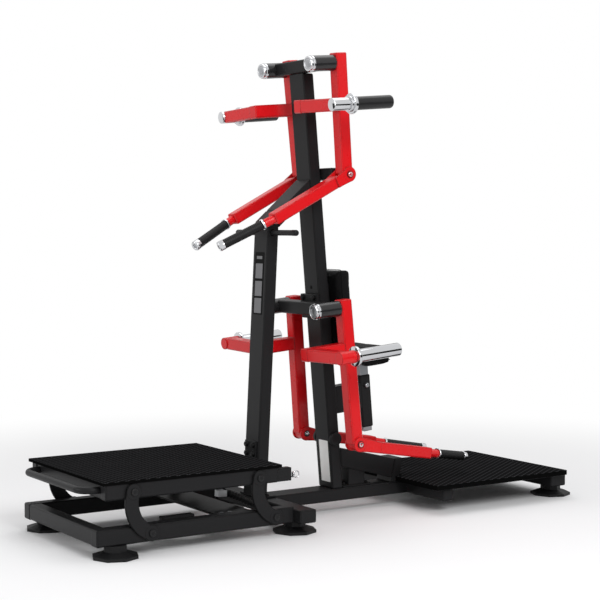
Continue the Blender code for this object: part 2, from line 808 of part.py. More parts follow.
def sloping_brace():
    """The deep brace from the column down to the rear deck, with its end post and saddle."""
    front_x = column_face(SLOPE_TOP) + SECTION + GAP + 0.0015
    drop = SLOPE_DEPTH / math.cos(SLOPE_ANGLE)
    slope = math.tan(SLOPE_ANGLE)
    end_top = SLOPE_TOP - slope * (SLOPE_END_X - front_x)
    outline = [
        (front_x + LEAN_SLOPE * drop, SLOPE_TOP - drop),
        (SLOPE_END_X - slope * drop, end_top - drop),
        (SLOPE_END_X, end_top),
        (front_x, SLOPE_TOP),
    ]
    brace = plate(
        "sloping_brace",
        outline,
        UPRIGHT_WIDTH - 2 * CORNER_RADIUS,
        side_plate_matrix(0.0),
        None,
        "black_paint",
        edge=CORNER_RADIUS,
    )
    foot = BEAM_TOP + GAP
    run = (end_top - foot) * slope
    end_post = plate(
        "brace_end_post",
        [
            (SLOPE_END_X - run - WELD_DEPTH, foot),
            (SLOPE_END_X - run - WELD_DEPTH + SLOPE_END_THICKNESS, foot),
            (SLOPE_END_X - WELD_DEPTH + SLOPE_END_THICKNESS, end_top + PLATE_EDGE),
            (SLOPE_END_X - WELD_DEPTH, end_top + PLATE_EDGE),
        ],
        UPRIGHT_WIDTH,
        side_plate_matrix(0.0),
    )
    saddle_start = SADDLE_X - SADDLE_LENGTH / 2
    saddle_top = SLOPE_TOP - drop - slope * (saddle_start - front_x) + WELD_DEPTH
    saddle = box(
        "brace_saddle",
        (SADDLE_LENGTH, UPRIGHT_WIDTH - 4 * CORNER_RADIUS, saddle_top - foot),
        (SADDLE_X, 0.0, (saddle_top + foot) / 2),
        edge=PLATE_EDGE,
    )
    saddle_foot = box(
        "brace_saddle_foot",
        (SADDLE_LENGTH + 2 * SADDLE_SPREAD, UPRIGHT_WIDTH - 2 * CORNER_RADIUS, FLANGE_THICKNESS),
        (SADDLE_X, 0.0, foot + FLANGE_THICKNESS / 2),
        edge=PLATE_EDGE,
    )
    bolts = [
        (
            (
                SADDLE_X + end * (SADDLE_LENGTH / 2 + SADDLE_SPREAD / 2),
                side * UPRIGHT_WIDTH / 4,
                foot + FLANGE_THICKNESS,
            ),
            (0, 0, 1),
        )
        for end in (-1, 1)
        for side in (-1, 1)
    ]
    return weld(brace, end_post, saddle, saddle_foot, *bolt_heads("saddle_bolt", bolts))


def pivot_head(name, pivot, bolted):
    """A crossbar with a round bearing housing at each end, and a flange if it is bolted on."""
    x, y, z = pivot
    parent = frame_empty(
        name + "_frame",
        Matrix.Translation((x, 0.0, z)) @ Matrix.Rotation(-LEAN_ANGLE, 4, "Y"),
    )
    bar = box(
        name,
        (SECTION, 2 * (y - HOUSING_RADIUS / 2), SECTION),
        (PIVOT_BAR_START + HALF, 0.0, 0.0),
        parent,
        "black_paint",
    )
    housing_end = ARM_FRONT - HOUSING_END_GAP
    pieces = []
    cutters = []
    for side, end in ((-1, "near"), (1, "far")):
        line = side * y
        pieces.append(
            rod(
                f"{name}_housing_{end}",
                HOUSING_RADIUS,
                (HOUSING_START, line, 0.0),
                (housing_end, line, 0.0),
                parent,
            )
        )
        reaches = (
            ("shaft_bore", BEARING_BORE, -WELD_DEPTH),
            ("grease_room", HOUSING_BORE, BEARING_WIDTH),
        )
        for label, radius, inset in reaches:
            cutters.append(
                rod(
                    f"{name}_{label}_{end}",
                    radius,
                    (HOUSING_START + inset, line, 0.0),
                    (housing_end - inset, line, 0.0),
                    parent,
                )
            )
    if bolted:
        back = flange_back(pivot)
        front = PIVOT_BAR_START + SECTION - WELD_DEPTH
        pieces.append(
            box(
                name + "_flange",
                (back - front, HEAD_FLANGE_WIDTH, HEAD_FLANGE_HEIGHT),
                ((back + front) / 2, 0.0, HEAD_FLANGE_HEIGHT / 2 - HEAD_FLANGE_BELOW),
                parent,
                edge=PLATE_EDGE,
            )
        )
        above = (HALF + HEAD_FLANGE_HEIGHT - HEAD_FLANGE_BELOW) / 2
        bolts = [((front, sign * HEAD_FLANGE_WIDTH * 0.34, above), (-1, 0, 0)) for sign in (-1, 1)]
        pieces += bolt_heads(name + "_bolt", bolts, parent)
    weld(bar, *pieces)
    return cut(bar, *cutters)


def flange_back(pivot):
    """How far behind a pivot the column's front face lies, along the pivot."""
    x, _, z = pivot
    return (column_face(z) - x) * math.cos(LEAN_ANGLE) - GAP


def pivot_caps():
    """The chromed covers on the pivots' front ends."""
    profile = [
        (0.0, CAP_LENGTH),
        (CAP_RIM_RADIUS, CAP_LENGTH),
        (CAP_RIM_RADIUS, CAP_LENGTH * 0.62),
        (CAP_RADIUS * 0.93, CAP_LENGTH * 0.55),
        (CAP_RADIUS * 0.93, CAP_LENGTH * 0.40),
        (CAP_RADIUS, CAP_LENGTH * 0.34),
        (CAP_RADIUS, CAP_LENGTH * 0.10),
        (CAP_RADIUS * 0.88, 0.0),
        (0.0, 0.0),
    ]
    for level, pivot in (("upper", UPPER_PIVOT), ("lower", LOWER_PIVOT)):
        for side, end in ((-1, "near"), (1, "far")):
            parent = lean_frame(f"{level}_cap_frame_{end}", pivot, side, 0.0)
            turned(
                f"{level}_pivot_cap_{end}", profile, (0, 0, 0), (1, 0, 0), parent, "chrome"
            )


def ear_inner_face(pivot, swing_rest, drop):
    """Y of the inner ear's inner face at rest, that far below the pivot along the arm."""
    _, y, _ = pivot
    return y + drop * math.sin(swing_rest) - EAR_OUTER / math.cos(swing_rest)


def stop_end(pivot, swing_rest, length, spread):
    """Y at which a stop ends, just short of the inner ear that comes to it."""
    faces = [ear_inner_face(pivot, swing_rest, length + step) for step in (-spread, spread)]
    return min(faces) - STOP_CLEARANCE


def arm_stops():
    """The stop bar behind the column for the upper arms, and the lower arms' two buffers."""
    half = STOP_BAR_SECTION / 2
    reach = stop_end(UPPER_PIVOT, UPPER_SWING_REST, UPPER_ARM_LENGTH, half)
    face = column_face(STOP_BAR_Z - half) + SECTION + GAP
    box(
        "upper_stop_bar",
        (STOP_BAR_SECTION, 2 * reach, STOP_BAR_SECTION),
        (face + half, 0.0, STOP_BAR_Z),
        None,
        "black_paint",
    )
    inmost = LOWER_SWING_REST + LOWER_SWING_IN
    reach = stop_end(LOWER_PIVOT, inmost, LOWER_ARM_LENGTH, BUMPER_RADIUS)
    x = column_face(BUMPER_Z) + HALF
    for side, end in ((-1, "near"), (1, "far")):
        rod(
            f"lower_bumper_{end}",
            BUMPER_RADIUS,
            (x, side * (UPRIGHT_WIDTH / 2 + GAP), BUMPER_Z),
            (x, side * reach, BUMPER_Z),
            None,
            "black_rubber",
            edge=0.002,
        )


def tread(name, start, length, half_width, top, lip, parent=None):
    """A tread plate with its edges folded down, open underneath."""
    body = box(
        name,
        (length, 2 * half_width, lip),
        (start + length / 2, 0.0, top - lip / 2),
        parent,
        "tread_coating",
        edge=PLATE_EDGE,
    )
    hollow = box(
        name + "_hollow",
        (length - 2 * LIP_THICKNESS, 2 * (half_width - LIP_THICKNESS), lip),
        (start + length / 2, 0.0, top - TREAD_THICKNESS - lip / 2),
        parent,
        edge=0.0,
    )
    return cut(body, hollow)


def ring_frame(name, start, length, half_width, bar_width, height, low, crosses):
    """A rectangular frame of tubes. crosses are the tubes across it, as (x, height)."""
    edge = min(CORNER_RADIUS, height / 5)
    rails = [
        box(
            name if side < 0 else name + "_far",
            (length, bar_width, height),
            (start + length / 2, side * (half_width - bar_width / 2), low + height / 2),
            None,
            "black_paint",
            edge=edge,
        )
        for side in (-1, 1)
    ]
    inner = 2 * (half_width - bar_width + SOCKET_DEPTH)
    tubes = [
        box(
            f"{name}_cross_{index}",
            (bar_width, inner, tall - 2 * PLATE_EDGE),
            (x, 0.0, low + height - tall / 2),
            edge=edge,
        )
        for index, (x, tall) in enumerate(crosses)
    ]
    return weld(rails[0], rails[1], *tubes)


def rear_deck():
    """The fixed deck of the rear station."""
    low = BEAM_TOP + GAP
    height = REAR_DECK_TOP - TREAD_THICKNESS - GAP - low
    inset = LIP_THICKNESS + 0.002
    start = REAR_DECK_START + inset
    length = REAR_DECK_LENGTH - 2 * inset
    edge = REAR_DECK_BAR / 2 + PLATE_EDGE
    crosses = [start + edge + SLOPE_CLEARANCE, start + length * 0.5, start + length - edge]
    ring_frame(
        "rear_deck_frame",
        start,
        length,
        REAR_DECK_HALF_WIDTH - inset,
        REAR_DECK_BAR,
        height,
        low,
        [(x, height) for x in crosses],
    )
    deck = tread(
        "rear_deck_tread",
        REAR_DECK_START,
        REAR_DECK_LENGTH,
        REAR_DECK_HALF_WIDTH,
        REAR_DECK_TOP,
        REAR_DECK_LIP,
    )
    room = box(
        "rear_deck_notch",
        (2 * SLOPE_CLEARANCE, UPRIGHT_WIDTH + 4 * GAP, SECTION),
        (REAR_DECK_START, 0.0, REAR_DECK_TOP),
        edge=0.0,
    )
    cut(deck, room)


def cushion(name, size, parent, place, crown, edge):
    """An upholstered pad: crowned on its +Z face, sides drawn in between the corners."""
    mesh = bpy.data.meshes.new(name)
    work = bmesh.new()
    bmesh.ops.create_cube(work, size=2.0)
    bmesh.ops.subdivide_edges(work, edges=work.edges, cuts=4, use_grid_fill=True)
    half = [length / 2 for length in size]
    for vert in work.verts:
        a, b, c = vert.co
        swell = (1 - a * a) * (1 - b * b)
        pull = 1 - edge * 0.35 / half[0] * (1 - c * c) * (1 - 0.5 * b * b)
        pull_b = 1 - edge * 0.35 / half[1] * (1 - c * c) * (1 - 0.5 * a * a)
        rise = crown * swell if c > 0.99 else 0.0
        vert.co = (a * half[0] * pull, b * half[1] * pull_b, c * half[2] + rise)
    work.to_mesh(mesh)
    work.free()
    smooth_rounds(mesh)
    made = add_object(name, mesh, parent, place, "black_vinyl")
    return round_edges(made, edge, segments=2)


def head_pad():
    """The upright pad on the plate at the column's rear."""
    middle_z = (HEAD_PAD_LOW + HEAD_PAD_HIGH) / 2
    reach = SECTION + HEAD_PAD_PLATE[0] + 2 * GAP
    face_x = column_face(middle_z) + reach / math.cos(LEAN_ANGLE)
    height = (HEAD_PAD_HIGH - HEAD_PAD_LOW) / math.cos(LEAN_ANGLE)
    place = (
        Matrix.Translation((face_x, 0.0, middle_z))
        @ Matrix.Rotation(math.radians(90) - LEAN_ANGLE, 4, "Y")
        @ Matrix.Translation((0.0, 0.0, HEAD_PAD_THICKNESS / 2))
    )
    size = (height, 2 * HEAD_PAD_HALF_WIDTH, HEAD_PAD_THICKNESS)
    return cushion("head_pad", size, None, place, HEAD_PAD_CROWN, HEAD_PAD_EDGE)


def chest_frame(name):
    """The empty on the chest pad post's line, x forward of it, z up along it."""
    matrix = Matrix.Translation((CHEST_POST_X, 0.0, CHEST_POST_Z)) @ Matrix.Rotation(
        -LEAN_ANGLE, 4, "Y"
    )
    return frame_empty(name, matrix)


def chest_support():
    """The chest pad, its post, the sleeve that it slides in and the spring pin."""
    fixed = chest_frame("chest_sleeve_frame")
    low = CHEST_SLEEVE_LOW - CHEST_POST_Z
    high = CHEST_SLEEVE_HIGH - CHEST_POST_Z
    half = CHEST_SLEEVE_SECTION / 2
    sleeve = box(
        "chest_post_sleeve",
        (CHEST_SLEEVE_SECTION, CHEST_SLEEVE_SECTION, high - low),
        (0.0, 0.0, (low + high) / 2),
        fixed,
        "black_paint",
    )
    bracket_low = CHEST_BRACKET_LOW - CHEST_POST_Z
    bracket_high = CHEST_BRACKET_HIGH - CHEST_POST_Z
    back = (column_face(CHEST_POST_Z) + SECTION - CHEST_POST_X) * math.cos(LEAN_ANGLE) + GAP
    bracket = box(
        "chest_bracket",
        (-half - back + WELD_DEPTH, CHEST_BRACKET_WIDTH, bracket_high - bracket_low),
        ((back - half + WELD_DEPTH) / 2, 0.0, (bracket_low + bracket_high) / 2),
        fixed,
        edge=PLATE_EDGE,
    )
    weld(sleeve, bracket)
    tube_room = CHEST_TUBE_SECTION + 2 * GAP
    channel = box(
        "chest_sleeve_channel",
        (tube_room, tube_room, 2 * (high - low)),
        (0.0, 0.0, (low + high) / 2),
        fixed,
        edge=CORNER_RADIUS / 2,
    )
    pin_z = CHEST_PIN_Z - CHEST_POST_Z
    pin_hole = rod(
        "chest_pin_hole",
        bore_radius(CHEST_PIN_RADIUS),
        (0.0, 0.0, pin_z),
        (0.0, -2 * half, pin_z),
        fixed,
        sides=SMALL_SIDES,
    )
    cut(sleeve, channel, pin_hole)

    moving = chest_frame("chest_slide_frame")
    tube_low = CHEST_TUBE_LOW - CHEST_POST_Z
    tube_high = (CHEST_PAD_BASE - CHEST_PLATE_HEIGHT / 2 - CHEST_POST_Z) / math.cos(LEAN_ANGLE)
    tube = box(
        "chest_post_tube",
        (CHEST_TUBE_SECTION, CHEST_TUBE_SECTION, tube_high - tube_low),
        (0.0, 0.0, (tube_low + tube_high) / 2),
        moving,
        "zinc_steel",
        edge=CORNER_RADIUS / 2,
    )
    pad_plate = box(
        "chest_pad_plate",
        (CHEST_PAD_SIZE[0] * 0.8, CHEST_PAD_SIZE[1] * 0.5, CHEST_PLATE_HEIGHT),
        (0.0, 0.0, tube_high),
        moving,
        edge=0.0,
    )
    step = CHEST_TRAVEL / 4
    holes = [
        rod(
            f"chest_tube_hole_{index}",
            bore_radius(CHEST_PIN_RADIUS),
            (0.0, -CHEST_TUBE_SECTION, pin_z - step * index),
            (0.0, CHEST_TUBE_SECTION, pin_z - step * index),
            moving,
            sides=SMALL_SIDES,
        )
        for index in range(5)
    ]
    weld(tube, pad_plate)
    cut(tube, *holes)
    pad_base = tube_high + CHEST_PLATE_HEIGHT / 2 + GAP
    place = Matrix.Translation((0.0, 0.0, pad_base + CHEST_PAD_SIZE[2] / 2))
    cushion("chest_pad", CHEST_PAD_SIZE, moving, place, CHEST_PAD_CROWN, HEAD_PAD_EDGE)

    pin_reach = half - tube_room / 2
    spring = frame_empty(
        "chest_pin_frame", Matrix.Translation((0.0, -half, pin_z)), chest_frame("chest_pin_post")
    )
    turned(
        "chest_lock_pin",
        [
            (0.0, CHEST_KNOB_LENGTH + GAP),
            (CHEST_KNOB_RADIUS * 0.8, CHEST_KNOB_LENGTH + GAP),
            (CHEST_KNOB_RADIUS, CHEST_KNOB_LENGTH * 0.8),
            (CHEST_KNOB_RADIUS, GAP),
            (CHEST_PIN_RADIUS, GAP),
            (CHEST_PIN_RADIUS, -pin_reach),
            (0.0, -pin_reach),
        ],
        (0, 0, 0),
        (0, -1, 0),
        spring,
        "chrome",
        SMALL_SIDES,
    )


def swing_arm(name, frame, side, top, length, painted_boss):
    """A swing arm: its tube, the pivot shaft, the bored foot and the lever to the horn."""
    arm = box(
        name,
        (SECTION, SECTION, top + length),
        (ARM_FRONT + HALF, 0.0, (top - length) / 2),
        frame,
        "red_paint",
    )
    pieces = []
    pieces.append(
        rod(
            name + "_knuckle",
            HALF,
            (HINGE_X, -HALF, -length),
            (HINGE_X, HALF, -length),
            frame,
            edge=PLATE_EDGE,
        )
    )
    pieces.append(
        rod(
            name + "_shaft",
            SHAFT_RADIUS,
            (HOUSING_START + GAP, 0.0, 0.0),
            (ARM_FRONT + WELD_DEPTH, 0.0, 0.0),
            frame,
        )
    )
    run_start = ARM_FRONT + WELD_DEPTH
    pieces.append(
        box(
            name + "_lever_run",
            (run_start - LEVER_FRONT, SECTION, SECTION),
            ((run_start + LEVER_FRONT) / 2, 0.0, -LEVER_DROP),
            frame,
        )
    )
    reach_end = HORN_OFFSET - HORN_BOSS_RADIUS / 2
    reach_start = HALF - 2 * WELD_DEPTH
    pieces.append(
        box(
            name + "_lever_reach",
            (SECTION - 2 * PLATE_EDGE, reach_end - reach_start, SECTION - 2 * PLATE_EDGE),
            (LEVER_FRONT + HALF, side * (reach_end + reach_start) / 2, -LEVER_DROP),
            frame,
        )
    )
    boss_line = (side * HORN_OFFSET, -LEVER_DROP)
    if painted_boss:
        pieces.append(
            rod(
                name + "_horn_boss",
                HORN_BOSS_RADIUS,
                (LEVER_FRONT - PLATE_EDGE, *boss_line),
                (LOWER_BOSS_END, *boss_line),
                frame,
                edge=PLATE_EDGE,
            )
        )
    weld(arm, *pieces)
    cutters = [
        rod(
            name + "_hinge_bore",
            bore_radius(HINGE_BOLT_RADIUS),
            (HINGE_X, -SECTION, -length),
            (HINGE_X, SECTION, -length),
            frame,
            sides=SMALL_SIDES,
        ),
    ]
    if painted_boss:
        cutters.append(
            rod(
                name + "_horn_seat",
                bore_radius(HORN_CORE_RADIUS),
                (LOWER_BOSS_END - HORN_RADIUS, *boss_line),
                (LOWER_BOSS_END + HORN_RADIUS, *boss_line),
                frame,
            )
        )
    else:
        cutters.append(
            rod(
                name + "_boss_seat",
                bore_radius(HORN_BOSS_RADIUS, ROUND_SIDES),
                (HORN_BOSS_START * 2, *boss_line),
                (SECTION, *boss_line),
                frame,
            )
        )
    return cut(arm, *cutters)


def upper_horn(label, frame, side):
    """The chromed boss, collar and flange of an upper horn, and its black sleeve."""
    line = (0.0, side * HORN_OFFSET, -LEVER_DROP)
    flange_end = UPPER_COLLAR_END + HORN_FLANGE_LENGTH
    core_end = UPPER_HORN_END - HORN_RADIUS
    turned(
        f"upper_horn_core_{label}",
        [
            (0.0, core_end),
            (HORN_CORE_RADIUS, core_end),
            (HORN_CORE_RADIUS, flange_end),
            (HORN_FLANGE_RADIUS - PLATE_EDGE, flange_end),
            (HORN_FLANGE_RADIUS, flange_end - PLATE_EDGE),
            (HORN_FLANGE_RADIUS, UPPER_COLLAR_END + PLATE_EDGE),
            (HORN_FLANGE_RADIUS - PLATE_EDGE, UPPER_COLLAR_END),
            (HORN_COLLAR_RADIUS, UPPER_COLLAR_END),
            (HORN_COLLAR_RADIUS, UPPER_BOSS_END),
            (HORN_BOSS_RADIUS, UPPER_BOSS_END),
            (HORN_BOSS_RADIUS, HORN_BOSS_START + PLATE_EDGE),
            (HORN_BOSS_RADIUS - PLATE_EDGE, HORN_BOSS_START),
            (0.0, HORN_BOSS_START),
        ],
        line,
        (1, 0, 0),
        frame,
        "chrome",
    )
    nose = HORN_RADIUS / 4
    turned(
        f"upper_horn_sleeve_{label}",
        [
            (0.0, UPPER_HORN_END),
            (HORN_RADIUS - nose, UPPER_HORN_END),
            (HORN_RADIUS - nose / 3, UPPER_HORN_END - nose / 3),
            (HORN_RADIUS, UPPER_HORN_END - nose),
            (HORN_RADIUS, flange_end + GAP),
            (HORN_CORE_RADIUS + GAP, flange_end + GAP),
            (HORN_CORE_RADIUS + GAP, core_end + GAP),
            (0.0, core_end + GAP),
        ],
        line,
        (1, 0, 0),
        frame,
        "black_rubber",
    )


def lower_horn(label, frame, side):
    """A chromed lower horn: its flange, the bar for the plates, and the spigot in the boss."""
    line = (0.0, side * HORN_OFFSET, -LEVER_DROP)
    start = LOWER_BOSS_END + GAP
    flange_end = start + HORN_FLANGE_LENGTH
    nose = HORN_RADIUS / 8
    turned(
        f"lower_horn_{label}",
        [
            (0.0, LOWER_HORN_END),
            (HORN_RADIUS - nose, LOWER_HORN_END),
            (HORN_RADIUS, LOWER_HORN_END - nose),
            (HORN_RADIUS, flange_end),
            (HORN_FLANGE_RADIUS - PLATE_EDGE, flange_end),
            (HORN_FLANGE_RADIUS, flange_end - PLATE_EDGE),
            (HORN_FLANGE_RADIUS, start + PLATE_EDGE),
            (HORN_FLANGE_RADIUS - PLATE_EDGE, start),
            (HORN_CORE_RADIUS, start),
            (HORN_CORE_RADIUS, LOWER_BOSS_END - HORN_RADIUS + GAP),
            (0.0, LOWER_BOSS_END - HORN_RADIUS + GAP),
        ],
        line,
        (1, 0, 0),
        frame,
        "chrome",
    )


def handle_arm(name, frame, inward, offset, end, stub, droop, ear_length):
    """A hinged handle arm: two ears and their bolt, the tube and the turned-in stub."""
    half_height = HANDLE_TUBE_HEIGHT / 2
    tube = box(
        name,
        (end - HANDLE_TUBE_START, SECTION, HANDLE_TUBE_HEIGHT),
        ((end + HANDLE_TUBE_START) / 2, 0.0, offset),
        frame,
        "red_paint",
    )
    low = offset - half_height + PLATE_EDGE
    high = offset + half_height - PLATE_EDGE
    outline = arc((0.0, 0.0), EAR_RADIUS, 90, 270, 8)
    outline += [(HANDLE_TUBE_START, low), (ear_length, low), (ear_length, high)]
    pieces = [
        plate(
            f"{name}_ear_{'right' if side < 0 else 'left'}",
            outline,
            EAR_THICKNESS,
            side_plate_matrix(side * (EAR_OUTER - EAR_THICKNESS / 2)),
            frame,
        )
        for side in (-1, 1)
    ]
    web_start = HANDLE_TUBE_START + CORNER_RADIUS + GAP
    pieces += [
        box(
            f"{name}_web_{'right' if side < 0 else 'left'}",
            (ear_length - WELD_DEPTH - web_start, 2 * WELD_DEPTH, HANDLE_TUBE_HEIGHT / 2),
            ((ear_length - WELD_DEPTH + web_start) / 2, side * HALF, offset),
            frame,
            edge=0.0,
        )
        for side in (-1, 1)
    ]
    pieces.append(hinge_bolt(name, frame, inward))
    turn = grip_direction(inward, droop)
    base = Vector((end, 0.0, offset))
    pieces.append(
        rod(
            name + "_stub",
            STUB_RADIUS,
            base - turn * STUB_RADIUS,
            base + turn * stub,
            frame,
            edge=PLATE_EDGE,
        )
    )
    weld(tube, *pieces)
    seat = rod(
        name + "_grip_seat",
        bore_radius(GRIP_CORE_RADIUS),
        base + turn * (stub - GRIP_RADIUS),
        base + turn * (stub + GRIP_RADIUS),
        frame,
        sides=SMALL_SIDES,
    )
    return cut(tube, seat)


def hinge_bolt(name, frame, inward):
    """The bolt through the ears, its head on the ear that faces away from the machine."""
    head = EAR_OUTER + HINGE_HEAD_HEIGHT
    seat = EAR_OUTER - PLATE_EDGE
    tail = -(EAR_OUTER - PLATE_EDGE)
    profile = [
        (0.0, head),
        (HINGE_HEAD_RADIUS * 0.7, head),
        (HINGE_HEAD_RADIUS, head - HINGE_HEAD_HEIGHT / 3),
        (HINGE_HEAD_RADIUS, seat),
        (HINGE_BOLT_RADIUS, seat),
        (HINGE_BOLT_RADIUS, tail),
        (0.0, tail),
    ]
    return turned(
        name + "_bolt", profile, (0, 0, 0), (0, -inward, 0), frame, None, SMALL_SIDES
    )


def grip_direction(inward, droop):
    """The grip's direction in its handle arm's frame, turned in towards the machine."""
    return Vector(
        (
            math.cos(GRIP_TURN) * math.cos(droop),
            inward * math.sin(GRIP_TURN) * math.cos(droop),
            -math.sin(droop),
        )
    )


def grip(label, frame, inward, offset, end, stub, droop):
    """The black grip, and the chromed core with its ring and end cap."""
    turn = grip_direction(inward, droop)
    base = Vector((end, 0.0, offset)) + turn * (stub + GAP)
    grip_start = RING_LENGTH + GAP
    grip_end = RING_LENGTH + GRIP_LENGTH
    cap_end = grip_end + GAP + END_CAP_LENGTH
    turned(
        f"grip_core_{label}",
        [
            (0.0, cap_end),
            (END_CAP_RADIUS * 0.55, cap_end),
            (END_CAP_RADIUS * 0.6, cap_end - PLATE_EDGE),
            (END_CAP_RADIUS * 0.86, cap_end - PLATE_EDGE),
            (END_CAP_RADIUS, cap_end - 3 * PLATE_EDGE),
            (END_CAP_RADIUS, grip_end + GAP),
            (GRIP_CORE_RADIUS, grip_end + GAP),
            (GRIP_CORE_RADIUS, RING_LENGTH),
            (RING_RADIUS, RING_LENGTH),
            (RING_RADIUS, 0.0),
            (GRIP_CORE_RADIUS, 0.0),
            (GRIP_CORE_RADIUS, GAP - GRIP_RADIUS),
            (0.0, GAP - GRIP_RADIUS),
        ],
        base,
        turn,
        frame,
        "chrome",
        SMALL_SIDES,
    )
    nose = 0.002
    profile = [
        (GRIP_CORE_RADIUS + GAP, grip_end),
        (GRIP_RADIUS - nose, grip_end),
        (GRIP_RADIUS, grip_end - nose),
        (GRIP_RADIUS, grip_start + nose),
        (GRIP_RADIUS - nose, grip_start),
        (GRIP_CORE_RADIUS + GAP, grip_start),
        (GRIP_CORE_RADIUS + GAP, grip_end),
    ]
    turned(f"grip_{label}", profile, base, turn, frame, "black_rubber", SMALL_SIDES)


def arm_station(level, side):
    """One swing arm with its horn, handle arm and grip."""
    label = "near" if side < 0 else "far"
    upper = level == "upper"
    pivot = UPPER_PIVOT if upper else LOWER_PIVOT
    rest = UPPER_SWING_REST if upper else LOWER_SWING_REST
    length = UPPER_ARM_LENGTH if upper else LOWER_ARM_LENGTH
    top = ARM_TOP_UPPER if upper else ARM_TOP_LOWER
    frame = lean_frame(f"{level}_swing_{label}", pivot, side, rest)
    swing_arm(f"{level}_arm_{label}", frame, side, top, length, not upper)
    if upper:
        upper_horn(label, frame, side)
        turn = Matrix.Rotation(math.pi, 4, "Z") @ Matrix.Rotation(
            UPPER_HANDLE_SLOPE - LEAN_ANGLE, 4, "Y"
        )
        inward = side
        sizes = (UPPER_HANDLE_OFFSET, UPPER_HANDLE_END, UPPER_STUB, UPPER_GRIP_DROOP)
    else:
        lower_horn(label, frame, side)
        turn = Matrix.Rotation(LOWER_HANDLE_SLOPE + LEAN_ANGLE, 4, "Y")
        inward = -side
        sizes = (LOWER_HANDLE_OFFSET, LOWER_HANDLE_END, LOWER_STUB, LOWER_GRIP_DROOP)
    hinge = frame_empty(
        f"{level}_hinge_{label}", Matrix.Translation((HINGE_X, 0.0, -length)) @ turn, frame
    )
    ear_length = UPPER_EAR_LENGTH if upper else LOWER_EAR_LENGTH
    handle_arm(f"{level}_handle_arm_{label}", hinge, inward, *sizes, ear_length)
    grip(f"{level}_{label}", hinge, inward, *sizes)


def link_outline():
    """A curved link's outline about its base pivot, bulging forward between its two eyes."""
    lower = Vector((0.0, 0.0))
    upper = Vector((LINK_REACH, LINK_HEIGHT))
    middle = (lower + upper) / 2
    across = Vector((-LINK_HEIGHT, LINK_REACH)).normalized()
    crest = middle + across * LINK_BULGE
    outer = through(lower, crest, upper, LINK_END_RADIUS)
    inner = through(upper, middle + across * (LINK_BULGE - LINK_WAIST), lower, -LINK_END_RADIUS)
    return outer, inner


def circle_through(first, second, third):
    """Centre and radius of the circle through three points."""
    ax, ay = first
    bx, by = second
    cx, cy = third
    d = 2 * (ax * (by - cy) + bx * (cy - ay) + cx * (ay - by))
    a2, b2, c2 = ax * ax + ay * ay, bx * bx + by * by, cx * cx + cy * cy
    centre = Vector(
        (
            (a2 * (by - cy) + b2 * (cy - ay) + c2 * (ay - by)) / d,
            (a2 * (cx - bx) + b2 * (ax - cx) + c2 * (bx - ax)) / d,
        )
    )
    return centre, (Vector(first) - centre).length


def through(start, crest, end, spread, steps=12):
    """Points of the arc through three points, moved out from its ends by spread."""
    centre, _ = circle_through(start, crest, end)
    first = start + (start - centre).normalized() * spread
    last = end + (end - centre).normalized() * spread
    centre, radius = circle_through(first, crest, last)
    begin = math.atan2(first[1] - centre[1], first[0] - centre[0])
    finish = math.atan2(last[1] - centre[1], last[0] - centre[0])
    turn = (finish - begin + math.pi) % (2 * math.pi) - math.pi
    return [
        (
            centre[0] + radius * math.cos(begin + turn * step / steps),
            centre[1] + radius * math.sin(begin + turn * step / steps),
        )
        for step in range(steps + 1)
    ]


def link_pair(name, base_x):
    """Two equal curved links, one on each side, with their eyes and stud holes."""
    outer, inner = link_outline()
    half = LINK_THICKNESS / 2
    for side, end in ((-1, "near"), (1, "far")):
        label = f"{name}_{end}"
        y = side * (FRONT_FRAME_HALF_WIDTH + LINK_SIDE_GAP + half)
        body = plate(
            label,
            outer + inner,
            LINK_THICKNESS,
            side_plate_matrix(y, base_x, LINK_BASE_Z),
            None,
            "black_paint",
            edge=0.0,
        )
        eyes = []
        holes = []
        for index, (across, up) in enumerate(((0.0, 0.0), (LINK_REACH, LINK_HEIGHT))):
            x, z = base_x + across, LINK_BASE_Z + up
            eyes.append(
                rod(f"{label}_eye_{index}", LINK_END_RADIUS, (x, y - half, z), (x, y + half, z))
            )
            holes.append(
                rod(
                    f"{label}_hole_{index}",
                    bore_radius(LINK_PIN_RADIUS),
                    (x, y - 2 * half, z),
                    (x, y + 2 * half, z),
                    sides=SMALL_SIDES,
                )
            )
        weld(body, *eyes)
        cut(body, *holes)


def link_studs(name, base_x, up):
    """Headed studs that carry a pair of links on the base frame or on the deck frame."""
    x = base_x + (LINK_REACH if up else 0.0)
    z = LINK_BASE_Z + (LINK_HEIGHT if up else 0.0)
    outer = FRONT_FRAME_HALF_WIDTH + LINK_SIDE_GAP + LINK_THICKNESS + GAP
    head = outer + LINK_PIN_HEAD_HEIGHT
    inner = FRONT_FRAME_HALF_WIDTH - 3 * WELD_DEPTH
    profile = [
        (0.0, head),
        (LINK_PIN_HEAD * 0.8, head),
        (LINK_PIN_HEAD, head - LINK_PIN_HEAD_HEIGHT / 2),
        (LINK_PIN_HEAD, outer),
        (LINK_PIN_RADIUS, outer),
        (LINK_PIN_RADIUS, inner),
        (0.0, inner),
    ]
    return [
        turned(
            f"{name}_{'near' if side < 0 else 'far'}",
            profile,
            (x, 0.0, z),
            (0, side, 0),
            sides=SMALL_SIDES,
        )
        for side in (-1, 1)
    ]


